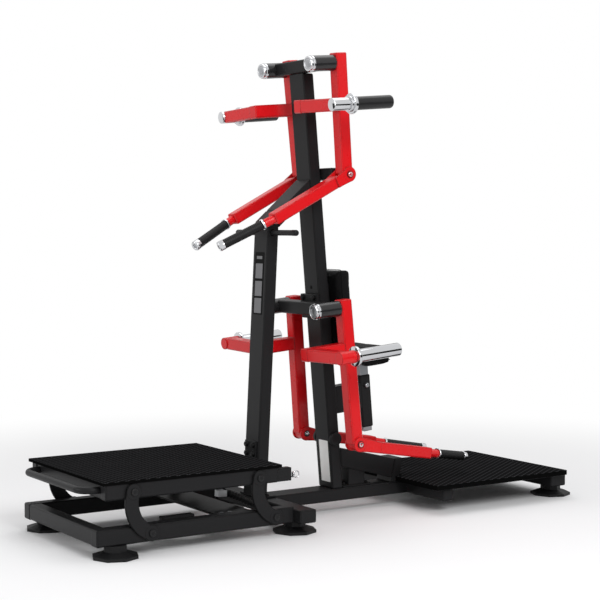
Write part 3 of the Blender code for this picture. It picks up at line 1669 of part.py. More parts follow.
def lifting_deck():
    """The front deck: tread, frame, loop handle, plunger block and pull pin."""
    frame_start = DECK_START + DECK_FRAME_INSET
    frame_length = DECK_LENGTH - 2 * DECK_FRAME_INSET
    frame = ring_frame(
        "deck_frame",
        frame_start,
        frame_length,
        FRONT_FRAME_HALF_WIDTH,
        DECK_TUBE_WIDTH,
        DECK_TUBE_HEIGHT,
        DECK_FRAME_LOW,
        [
            (frame_start + DECK_TUBE_WIDTH / 2 + CORNER_RADIUS, DECK_TUBE_HEIGHT),
            (
                frame_start + frame_length - DECK_TUBE_WIDTH / 2 - CORNER_RADIUS,
                DECK_REAR_TUBE_HEIGHT,
            ),
        ],
    )
    block_x = frame_start + frame_length + PIN_BLOCK[0] / 2 - WELD_DEPTH
    block_y = -(FRONT_FRAME_HALF_WIDTH - PIN_BLOCK[1] / 2 - CORNER_RADIUS)
    block_z = DECK_FRAME_TOP - PIN_BLOCK[2] / 2 - DECK_LIP
    block = box("pin_block", PIN_BLOCK, (block_x, block_y, block_z), edge=PLATE_EDGE)
    pin_z = block_z - PIN_BLOCK[2] / 2 + PULL_PIN_RISE
    studs = link_studs("deck_stud", FRONT_LINK_BASE_X, True)
    studs += link_studs("deck_stud_rear", REAR_LINK_BASE_X, True)
    weld(frame, block, *studs)
    bore = rod(
        "pin_block_bore",
        bore_radius(PULL_PIN_RADIUS),
        (block_x + PIN_BLOCK[0], block_y, pin_z),
        (block_x - PIN_BLOCK[0] / 2 - DECK_TUBE_WIDTH / 2, block_y, pin_z),
        sides=SMALL_SIDES,
    )
    cut(frame, bore)

    tread("deck_tread", DECK_START, DECK_LENGTH, DECK_HALF_WIDTH, DECK_TOP, DECK_LIP)

    z = DECK_FRAME_LOW + DECK_TUBE_HEIGHT / 2
    near_x = frame_start + CORNER_RADIUS - GAP
    out_x = DECK_START - LOOP_REACH
    corner_x = out_x + LOOP_BEND
    half = LOOP_HALF_WIDTH
    corner = [
        (x, y) for x, y in arc((corner_x, -(half - LOOP_BEND)), LOOP_BEND, 270, 180, 8)
    ]
    points = [(near_x, -half, z)]
    points += [(x, y, z) for x, y in corner]
    points += [(x, -y, z) for x, y in reversed(corner)]
    points += [(near_x, half, z)]
    bent_bar("deck_loop_handle", points, LOOP_RADIUS, None, "black_paint")

    knob_start = block_x + PIN_BLOCK[0] / 2 + GAP
    knob_end = knob_start + PULL_KNOB_LENGTH
    tip = block_x - PIN_BLOCK[0] / 2 - DECK_TUBE_WIDTH / 2 + GAP
    pin = turned(
        "deck_pull_pin",
        [
            (0.0, knob_end),
            (PULL_KNOB_RADIUS * 0.6, knob_end),
            (PULL_KNOB_RADIUS, knob_end - 0.003),
            (PULL_KNOB_RADIUS, knob_end - 0.008),
            (PULL_KNOB_RADIUS * 0.6, knob_end - 0.011),
            (PULL_KNOB_RADIUS * 0.6, knob_start),
            (PULL_PIN_RADIUS, knob_start),
            (PULL_PIN_RADIUS, tip),
            (0.0, tip),
        ],
        (0.0, block_y, pin_z),
        (1, 0, 0),
        None,
        "chrome",
        SMALL_SIDES,
    )
    ring_centre = (knob_end + PULL_RING_RADIUS - PULL_RING_WIRE, pin_z)
    ring = [
        (x, block_y, height)
        for x, height in arc(ring_centre, PULL_RING_RADIUS, 180, 540, 16)[:-1]
    ]
    weld(pin, closed_ring("pull_ring", ring, PULL_RING_WIRE))


def closed_ring(name, points, radius):
    """A closed wire ring through points."""
    curve = bpy.data.curves.new(name, "CURVE")
    curve.dimensions = "3D"
    curve.bevel_depth = radius
    curve.bevel_resolution = 1
    spline = curve.splines.new("POLY")
    spline.points.add(len(points) - 1)
    for point, place in zip(spline.points, points):
        point.co = (*place, 1.0)
    spline.use_cyclic_u = True
    return mesh_copy(add_object(name + "_line", curve), name)


def deck_strut():
    """The sloping strut under the lifting deck, its foot and its plated head."""
    low = Vector((STRUT_LOW[0], STRUT_Y, STRUT_LOW[1]))
    high = Vector((STRUT_HIGH[0], STRUT_Y, STRUT_HIGH[1]))
    away = (high - low).normalized()
    strut = rod(
        "deck_strut", STRUT_RADIUS, low, high + away * STRUT_RADIUS, None, "black_paint"
    )
    foot_depth = BEAM_HEIGHT / 2
    foot = box(
        "strut_foot",
        (foot_depth, 2 * STRUT_RADIUS + PLATE_EDGE, foot_depth),
        (CROSSBAR_START - GAP - foot_depth / 2, STRUT_Y, STRUT_LOW[1] - WELD_DEPTH),
        edge=PLATE_EDGE,
    )
    slope = math.atan2(away.z, -away.x)
    head_length, _, head_height = STRUT_HEAD
    head = box(
        "strut_head",
        STRUT_HEAD,
        high - Vector((head_length / 2, 0.0, head_height / 8)),
        edge=PLATE_EDGE,
        turn=Matrix.Rotation(slope / 8, 4, "Y"),
    )
    return weld(strut, foot, head)


def move_to_middle():
    """Moves everything along X, so that the origin is midway along the machine."""
    shift = Matrix.Translation((-MACHINE_CENTRE, 0.0, 0.0))
    for made in bpy.data.objects:
        if made.parent is None:
            made.matrix_world = shift @ made.matrix_world


def build():
    """Makes every sub-part."""
    clear_scene()
    new_collection(PART)
    new_collection(CUTTERS)
    foot_pads()
    front_base_frame()
    base_spine()
    front_post()
    main_column()
    diagonal_brace()
    sloping_brace()
    pivot_head("upper_pivot_head", UPPER_PIVOT, bolted=False)
    pivot_head("lower_pivot_head", LOWER_PIVOT, bolted=True)
    pivot_caps()
    arm_stops()
    rear_deck()
    head_pad()
    chest_support()
    for level in ("upper", "lower"):
        for side in (-1, 1):
            arm_station(level, side)
    link_pair("front_link", FRONT_LINK_BASE_X)
    link_pair("rear_link", REAR_LINK_BASE_X)
    lifting_deck()
    deck_strut()
    bpy.context.view_layer.update()
    move_to_middle()
    bpy.context.view_layer.update()


build()
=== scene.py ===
"""Dressed model of a plate-loaded lateral raise and rear deltoid machine.

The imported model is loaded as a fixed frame, in metres, +Z up, the machine along X. Steel frames,
arms and treads keep their solids and get procedural finishes. Turned, bent and upholstered pieces
are worked out here as smooth surfaces in the same places.
"""

import json
import logging
import math
from dataclasses import dataclass
from enum import Enum
from typing import Any

import bmesh
import bpy
import numpy as np
from mathutils import Matrix, Vector

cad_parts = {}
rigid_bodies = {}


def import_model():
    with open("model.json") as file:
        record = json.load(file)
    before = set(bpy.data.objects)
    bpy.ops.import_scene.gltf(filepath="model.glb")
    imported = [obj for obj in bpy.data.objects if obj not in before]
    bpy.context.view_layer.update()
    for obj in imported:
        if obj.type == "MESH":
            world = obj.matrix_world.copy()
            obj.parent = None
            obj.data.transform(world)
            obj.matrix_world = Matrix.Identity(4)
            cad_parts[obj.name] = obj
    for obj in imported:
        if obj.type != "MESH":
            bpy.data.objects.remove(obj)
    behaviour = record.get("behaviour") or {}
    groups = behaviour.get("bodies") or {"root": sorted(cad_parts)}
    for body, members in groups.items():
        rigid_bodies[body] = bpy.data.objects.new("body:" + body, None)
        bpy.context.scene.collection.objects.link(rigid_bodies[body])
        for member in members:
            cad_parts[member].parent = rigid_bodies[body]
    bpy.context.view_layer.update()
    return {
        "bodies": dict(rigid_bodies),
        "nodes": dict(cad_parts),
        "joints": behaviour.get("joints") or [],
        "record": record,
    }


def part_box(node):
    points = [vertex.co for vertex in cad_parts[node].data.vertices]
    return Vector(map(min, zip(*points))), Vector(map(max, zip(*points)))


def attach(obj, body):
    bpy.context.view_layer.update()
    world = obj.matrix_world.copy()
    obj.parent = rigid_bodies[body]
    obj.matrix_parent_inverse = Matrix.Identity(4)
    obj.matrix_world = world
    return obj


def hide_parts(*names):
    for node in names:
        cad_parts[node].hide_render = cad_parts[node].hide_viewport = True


LOG = logging.getLogger("machine")

# In metres and radians. The drawing's X is the row frame's plus MIDDLE.
MM = 1000.0  # turned profiles are in millimetres
GAP = 0.0003  # between joined pieces
HALF = 0.025  # half of a 50 mm tube
MIDDLE = 0.28575
LEAN = math.radians(5.0)  # of the column, backwards
BASE_TOP = 0.096
COLUMN_X = 0.3325  # the column's front face at the base's top, in the drawing
POST_X = -0.0259  # the same of the front post
POST_RISE = 0.0521  # how far the post runs along X for each metre up
CHEST_FOOT = 0.436  # the height of the chest post's frame
CHEST_TOP = 0.589  # the height of the chest post's top

Socket = bpy.types.NodeSocket
Object = bpy.types.Object
Array = np.ndarray
Pair = tuple[float, float]
Triple = tuple[float, float, float]
Profile = list[Pair]


class Level(Enum):
    """The two stations' arm levels."""

    UPPER = "upper"
    LOWER = "lower"


class Side(Enum):
    """The two sides of the machine, with the sign of Y."""

    NEAR = -1
    FAR = 1

    @property
    def label(self) -> str:
        """The side's word in node names."""
        return self.name.lower()


def linear(colour: str) -> tuple[float, float, float, float]:
    """Turns an sRGB hex colour into linear RGBA.

    Args:
        colour: six hex digits after a hash.

    Returns:
        Red, green, blue and an alpha of one, by the sRGB curve.
    """
    parts = [int(colour[i : i + 2], 16) / 255 for i in (1, 3, 5)]
    found = [p / 12.92 if p <= 0.04045 else ((p + 0.055) / 1.055) ** 2.4 for p in parts]
    return (*found, 1.0)


class Nodes:
    """The node tree of a new material or world, with short ways to fill it."""

    def __init__(self, owner: bpy.types.Material | bpy.types.World) -> None:
        """Turns the owner's nodes on and clears them."""
        owner.use_nodes = True
        self.tree = owner.node_tree
        self.tree.nodes.clear()

    def add(self, kind: str, values: dict[Any, Any] | None = None) -> bpy.types.Node:
        """Adds one node, with its settings and its inputs.

        Args:
            kind: the node's Blender type, without the word ShaderNode.
            values: properties by name, and numbers or sockets for its inputs by name or number.

        Returns:
            The new node.
        """
        node = self.tree.nodes.new(f"ShaderNode{kind}")
        for key, value in (values or {}).items():
            if isinstance(value, Socket):
                self.tree.links.new(value, node.inputs[key])
            elif isinstance(key, str) and hasattr(node, key):
                setattr(node, key, value)
            else:
                node.inputs[key].default_value = value
        return node

    def math(self, operation: str, first: Socket, second: Any = 0.0) -> Socket:
        """One step of arithmetic on a socket, with a second socket or a number."""
        return self.add("Math", {"operation": operation, 0: first, 1: second}).outputs[0]

    def noise(self, place: Socket, scale: float, detail: float, rough: float = 0.5) -> Socket:
        """A noise over a place."""
        values = {"Scale": scale, "Detail": detail, "Roughness": rough, "Vector": place}
        return self.add("TexNoise", values).outputs["Fac"]

    def ranged(
        self, value: Socket, span: Pair, to: Pair = (0.0, 1.0), soft: bool = False
    ) -> Socket:
        """Carries a value from one span to another, on a soft curve or a straight line."""
        values = {"interpolation_type": "SMOOTHSTEP" if soft else "LINEAR", "Value": value}
        values |= {"From Min": span[0], "From Max": span[1], "To Min": to[0], "To Max": to[1]}
        return self.add("MapRange", values).outputs["Result"]

    def mixed(self, share: Socket, first: Any, second: Any) -> Socket:
        """Two colours mixed by a share, each as linear RGBA or a socket."""
        values = {"data_type": "RGBA", 0: share, 6: first, 7: second}
        return self.add("Mix", values).outputs[2]


@dataclass(frozen=True)
class Finish:
    """What every finish shares: a name, a material slot, a colour and its grain.

    The grain is a noise of a real size in metres, which lifts the surface a little, and a broad
    noise that varies the colour and the gloss. A finish with painted edge shade has a darker
    colour painted along its rounded edges, as shade.
    """

    name: str
    slot: str
    colour: str
    second: str
    roughness: float
    metallic: float = 0.0
    coat: float = 0.0
    shine: float = 0.5
    grain: float = 0.002
    lift: float = 0.00005
    spread: float = 0.04
    edge: float = 0.0015
    # Painted shade along rounded edges: how strong it is, and its dark colour.
    rim: float = 0.0
    rim_colour: str = "#040404"

    def material(self) -> bpy.types.Material:
        """The finish as a material, made once."""
        found = bpy.data.materials.get(self.name)
        if found:
            return found
        made = bpy.data.materials.new(self.name)
        nodes = Nodes(made)
        place = nodes.add("TexCoord").outputs["Object"]
        height = self.height(nodes, place)
        normal = nodes.add("Bevel", {"samples": 4, "Radius": self.edge}).outputs["Normal"]
        bump = {"Strength": 1.0, "Distance": self.lift, "Height": height, "Normal": normal}
        values = {
            "Metallic": self.metallic,
            "Specular IOR Level": self.shine,
            "Coat Weight": self.coat,
            "Coat Roughness": 0.08,
            "Base Color": self.tint(nodes, place, height, normal),
            "Roughness": self.gloss(nodes, place),
            "Normal": nodes.add("Bump", bump).outputs["Normal"],
        }
        shader = nodes.add("BsdfPrincipled", values)
        nodes.add("OutputMaterial", {"Surface": shader.outputs["BSDF"]})
        return made

    def height(self, nodes: Nodes, place: Socket) -> Socket:
        """The grain's height: a noise whose cells are the grain's size."""
        return nodes.noise(place, 1.0 / self.grain, 2.0, 0.6)

    def tint(self, nodes: Nodes, place: Socket, height: Socket, normal: Socket) -> Socket:
        """The colour: the main one, varied by a broad noise, with shade painted darker along the
        edges.
        """
        broad = nodes.noise(place, 6.0, 4.0)
        plain = nodes.mixed(broad, linear(self.colour), linear(self.second))
        if not self.rim:
            return plain
        # Painted shade: darker where the smoothed normal turns away from the flat face, along
        # edges.
        flat = nodes.add("NewGeometry").outputs["True Normal"]
        values = {"operation": "DOT_PRODUCT", 0: normal, 1: flat}
        facing = nodes.add("VectorMath", values).outputs["Value"]
        edge_shade_share = nodes.ranged(facing, (0.999, 0.9), (0.0, self.rim))
        return nodes.mixed(edge_shade_share, plain, linear(self.rim_colour))

    def gloss(self, nodes: Nodes, place: Socket) -> Socket:
        """The roughness, a little more or less by a noise, as handling leaves it."""
        span = (max(self.roughness - self.spread, 0.02), self.roughness + self.spread)
        return nodes.ranged(nodes.noise(place, 14.0, 5.0), (0.0, 1.0), span)


@dataclass(frozen=True)
class Upholstery(Finish):
    """Vinyl over foam: small irregular cells of grain with creases between them."""

    def height(self, nodes: Nodes, place: Socket) -> Socket:
        """The grain's height: distance to the nearest crease between cells."""
        values = {"feature": "DISTANCE_TO_EDGE", "Scale": 1.0 / self.grain, "Vector": place}
        cells = nodes.add("TexVoronoi", values).outputs["Distance"]
        return nodes.ranged(cells, (0.0, 0.22), soft=True)


@dataclass(frozen=True)
class DiamondTread(Finish):
    """Pressed rubber tread: grooves along the two diagonals, with flat lozenges between them."""

    long: float = 0.04
    short: float = 0.026

    def height(self, nodes: Nodes, place: Socket) -> Socket:
        """The tread's height: how far a point is from the line |u| + |v| = 1/2 of its cell.

        Faces that don't face up are plain.
        """
        axes = nodes.add("SeparateXYZ", {0: place})
        parts = []
        for name, pitch in (("X", self.long), ("Y", self.short)):
            cell = nodes.math("FRACT", nodes.math("DIVIDE", axes.outputs[name], pitch))
            parts.append(nodes.math("ABSOLUTE", nodes.math("SUBTRACT", cell, 0.5)))
        total = nodes.math("ADD", *parts)
        away = nodes.math("ABSOLUTE", nodes.math("SUBTRACT", total, 0.5))
        shaped = nodes.ranged(away, (0.03, 0.13), soft=True)
        flat = nodes.add("NewGeometry").outputs["True Normal"]
        facing = nodes.add("SeparateXYZ", {0: flat}).outputs["Z"]
        return nodes.math("MAXIMUM", shaped, nodes.math("LESS_THAN", facing, 0.5))

    def tint(self, nodes: Nodes, place: Socket, height: Socket, normal: Socket) -> Socket:
        """The colour: lighter grey in the grooves, near black on the lozenges."""
        return nodes.mixed(height, linear(self.colour), linear(self.second))


# Textured satin powder coat on steel tube: dark neutral grey, soft broad highlights, and a
# darker line of painted shade along its edges.
BLACK_COAT = Finish(
    "satin_black_powder_coat", "black_paint", "#1e1e1f", "#222223", 0.34,
    shine=0.1, lift=0.00003, edge=0.0045, rim=1.0,
)
# The same coat on turned housings, smoother, so that the round catches a soft streak.
GLOSS_COAT = Finish(
    "gloss_black_powder_coat", "black_paint", "#1c1c1d", "#202021", 0.24,
    shine=0.42, spread=0.02, lift=0.00001,
)
# Gloss powder coat in signal red: saturated, with a clear narrow highlight under a thin coat,
# and a dark red line of painted shade along its edges.
RED_COAT = Finish(
    "gloss_red_powder_coat", "red_paint", "#d8141a", "#cd1118", 0.28,
    shine=0.24, coat=0.05, lift=0.00002, edge=0.004, rim=0.85, rim_colour="#6d0709",
)
# Bright nickel and chrome plate on turned steel: mirror-like, with faint wiping marks.
CHROME = Finish(
    "polished_chrome_plate", "chrome", "#cfd0d2", "#c3c4c7", 0.09,
    metallic=1.0, grain=0.004, lift=0.000004, edge=0.0006,
)
# Zinc plate on cold-rolled steel: pale grey, half gloss, slightly cloudy.
ZINC = Finish(
    "bright_zinc_plate", "zinc_steel", "#a6a8ab", "#94969a", 0.3,
    metallic=1.0, grain=0.003, lift=0.00002, edge=0.0008,
)
# Machined aluminium block: bright, matt, with fine cutter marks.
BLOCK = Finish(
    "machined_aluminium", "zinc_steel", "#d0d1d3", "#c2c4c6", 0.42,
    metallic=1.0, grain=0.0012, lift=0.00002,
)
# Moulded nitrile rubber: near black, matt, with the mould's fine spark grain.
RUBBER = Finish(
    "moulded_black_rubber", "black_rubber", "#0e0e0f", "#141415", 0.5,
    shine=0.22, grain=0.0014, lift=0.00012,
)
# Moulded ABS for end plugs and knobs: black with a low sheen.
ABS = Finish(
    "moulded_black_abs", "black_rubber", "#121213", "#181819", 0.36,
    shine=0.3, grain=0.0016, lift=0.00004,
)
# Expanded vinyl over foam: near black with a soft sheen and a 2.4 mm leather grain.
VINYL = Upholstery(
    "grained_upholstery_vinyl", "black_vinyl", "#0c0c0d", "#111112", 0.55,
    shine=0.06, grain=0.0024, lift=0.00022,
)
# Pressed rubber tread sheet: dull black lozenges 40 mm by 26 mm, drawn a little coarse to show.
TREAD = DiamondTread(
    "pressed_diamond_tread", "tread_coating", "#3c3c3e", "#0c0c0c", 0.7,
    shine=0.0, lift=0.0012, edge=0.0008,
)
# Polyester film left without print: off-white for the label, grey and matt black on the placard.
FILM = {"slot": "black_paint", "grain": 0.003, "lift": 0.00001}
PALE_FILM = Finish("bare_pale_film", colour="#f6f6f4", second="#efefed", roughness=0.35, **FILM)
GREY_FILM = Finish("bare_grey_film", colour="#5a5a5d", second="#68686b", roughness=0.3, **FILM)
BLACK_FILM = Finish(
    "bare_black_film", colour="#060606", second="#0a0a0a", roughness=0.5, shine=0.05, **FILM
)

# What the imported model's solids are given, by their slots.
SLOT_FINISH = {
    finish.slot: finish for finish in (BLACK_COAT, RED_COAT, CHROME, ZINC, RUBBER, VINYL, TREAD)
}


def move(x: float, y: float, z: float) -> Array:
    """A 4 by 4 matrix that moves."""
    made = np.eye(4)
    made[:3, 3] = (x, y, z)
    return made


def turn(axis: str, angle: float) -> Array:
    """A 4 by 4 matrix that turns about X, Y or Z by an angle in radians."""
    return np.array(Matrix.Rotation(angle, 4, axis))


def aim(start: Array, way: Array) -> Array:
    """A 4 by 4 matrix whose +X lies along a direction, from a start point."""
    made = np.array(Vector(way).to_track_quat("X", "Z").to_matrix().to_4x4())
    made[:3, 3] = start
    return made


def carried(points: Array, place: Array) -> Array:
    """Points of any shape (..., 3), put through a 4 by 4 matrix."""
    return points @ place[:3, :3].T + place[:3, 3]


def placed(name: str, data: Any) -> Object:
    """A new object in the scene, with its data."""
    made = bpy.data.objects.new(name, data)
    bpy.context.scene.collection.objects.link(made)
    return made


def skin(name: str, rings: Array, finish: Finish, loop: bool = False) -> Object:
    """Makes a closed surface through rings of points.

    Each ring is joined to the next by quads, and each end is closed by a fan about its middle.
    Edges that turn by more than 35 degrees stay sharp.

    Args:
        name: the new object's name.
        rings: an array (rings, points, 3) in the row frame.
        finish: what it is made of.
        loop: True if the last ring joins the first, with no ends.

    Returns:
        The object, at the origin, with its place in its mesh.
    """
    count, around = rings.shape[:2]
    spans = count if loop else count - 1
    low = np.arange(spans)[:, None] * around
    high = (np.arange(spans)[:, None] + 1) % count * around
    one = np.arange(around)[None, :]
    two = (one + 1) % around
    quads = np.stack([low + one, low + two, high + two, high + one], axis=2).reshape(-1, 4)
    points = rings.reshape(-1, 3)
    faces = quads.tolist()
    if not loop:
        first, last = len(points), len(points) + 1
        points = np.vstack([points, rings[0].mean(0), rings[-1].mean(0)])
        base = (count - 1) * around
        start = np.stack([two[0], one[0], np.full(around, first)], axis=1)
        end = np.stack([base + one[0], base + two[0], np.full(around, last)], axis=1)
        faces += start.tolist() + end.tolist()
    mesh = bpy.data.meshes.new(name)
    mesh.from_pydata(points.tolist(), [], faces)
    work = bmesh.new()
    work.from_mesh(mesh)
    bmesh.ops.recalc_face_normals(work, faces=work.faces)
    work.to_mesh(mesh)
    work.free()
    mesh.shade_smooth()
    mesh.set_sharp_from_angle(angle=math.radians(35.0))
    mesh.materials.append(finish.material())
    return placed(name, mesh)


def lathe(
    name: str, profile: Profile, place: Array, finish: Finish, sides: int = 56, loop: bool = False
) -> Object:
    """Turns a profile of (radius, distance) about the local X axis.

    A point is (distance, radius cos a, radius sin a), with a in even steps. A painted skin's
    profile stands 0.1 mm off its solid.

    Args:
        name: the object's name.
        profile: radii over zero and distances along the axis in mm, from end to end.
        place: the matrix from the local frame to the row frame.
        finish: what it is made of.
        sides: steps round the axis.
        loop: True for a ring with a hole through it.

    Returns:
        The turned piece.
    """
    radius, along = np.array(profile).T[:, :, None] / MM
    angle = np.arange(sides) * 2 * math.pi / sides
    rings = np.empty((len(profile), sides, 3))
    rings[..., 0] = along
    rings[..., 1] = radius * np.cos(angle)
    rings[..., 2] = radius * np.sin(angle)
    return skin(name, carried(rings, place), finish, loop=loop)


def sweep(
    name: str, path: Array, radius: float, finish: Finish, sides: int = 28, loop: bool = False
) -> Object:
    """Carries a circle along a path, turned at each point as little as possible.

    Args:
        name: the object's name.
        path: points (count, 3) of the centre line.
        radius: the bar's radius.
        finish: what it is made of.
        sides: points round the bar.
        loop: True if the path is closed.

    Returns:
        The bar.
    """
    ahead = np.roll(path, -1, axis=0) - np.roll(path, 1, axis=0)
    if not loop:
        ahead[0] = path[1] - path[0]
        ahead[-1] = path[-1] - path[-2]
    ahead /= np.linalg.norm(ahead, axis=1)[:, None]
    side = np.cross(ahead[0], (0.0, 0.0, 1.0))
    if np.linalg.norm(side) < 0.1:
        side = np.cross(ahead[0], (0.0, 1.0, 0.0))
    across = []
    for way in ahead:
        side = side - way * (side @ way)
        side = side / np.linalg.norm(side)
        across.append(side)
    first = np.array(across)
    second = np.cross(ahead, first)
    angle = (np.arange(sides) * 2 * math.pi / sides)[:, None]
    rims = first[:, None] * np.cos(angle) + second[:, None] * np.sin(angle)
    return skin(name, path[:, None] + radius * rims, finish, loop=loop)


def rounded_rectangle(
    width: float, height: float, radius: float, up: float, steps: int = 7
) -> Array:
    """Points (count, 3) round a rectangle with round corners, anticlockwise, at one height."""
    radius = max(radius, 1e-5)
    angle = np.linspace(0, math.pi / 2, steps)
    corners = []
    for index, (a, b) in enumerate(((1, 1), (-1, 1), (-1, -1), (1, -1))):
        bend = angle + index * math.pi / 2
        centre = np.array([a * (width / 2 - radius), b * (height / 2 - radius)])
        corners.append(centre + radius * np.stack([np.cos(bend), np.sin(bend)], axis=1))
    outline = np.vstack(corners)
    return np.column_stack([outline, np.full(len(outline), up)])


def slab(
    name: str, size: Triple, radius: float, place: Array, finish: Finish, edge: float
) -> Object:
    """A flat plate with round corners and eased edges, its middle at the local origin.

    Its rings are rounded rectangles, each moved in by the edge at both faces.

    Args:
        name: the object's name.
        size: width, height and thickness along the local X, Y and Z.
        radius: of the corners.
        place: the matrix to the row frame.
        finish: what it is made of.
        edge: how far the rims are eased.

    Returns:
        The plate.
    """
    wide, tall, thick = size
    half = thick / 2
    rows = [(edge, -half), (0.0, edge - half), (0.0, half - edge), (edge, half)]
    rings = [
        rounded_rectangle(wide - 2 * inset, tall - 2 * inset, radius - inset, up)
        for inset, up in rows
    ]
    return skin(name, carried(np.array(rings), place), finish)


def settle(piece: Object, slot: str, body: str, *nodes: str) -> None:
    """Lets a piece ride on a body and hides the nodes that it stands for."""
    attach(piece, body)
    if nodes:
        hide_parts(*nodes)
    LOG.info("%s on %s", piece.name, body)


def turned(
    name: str, profile: Profile, place: Array, finish: Finish, body: str, *nodes: str,
    slot: str = "", **shape: Any,
) -> None:
    """Turns a piece as lathe does and settles it."""
    settle(lathe(name, profile, place, finish, **shape), slot or finish.slot, body, *nodes)


def column_x(z: float) -> float:
    """The X of the column's front face at a height."""
    return COLUMN_X - math.tan(LEAN) * (z - BASE_TOP) - MIDDLE


def post_x(z: float) -> float:
    """The X of the front post's front face at a height."""
    return POST_X + POST_RISE * (z - BASE_TOP) - MIDDLE


def chest_place() -> Array:
    """The chest post's own frame, z up the post from the top of its bracket."""
    return move(0.516 - MIDDLE, 0, CHEST_FOOT) @ turn("Y", -LEAN)


@dataclass(frozen=True)
class ArmSizes:
    """What differs between the two levels' arms, in metres and degrees."""

    pivot: Triple
    rest: float
    length: float
    handle_lift: float
    stub_at: float
    stub_offset: float
    stub_length: float


ARM_SIZES = {
    Level.UPPER: ArmSizes((0.1323, 0.168, 1.761), -1.8, 0.429, 22.4, 0.372, -0.005, 0.04),
    Level.LOWER: ArmSizes((0.1515, 0.178, 0.8165), 1.2, 0.537, 14.6, 0.365, -0.0045, 0.052),
}


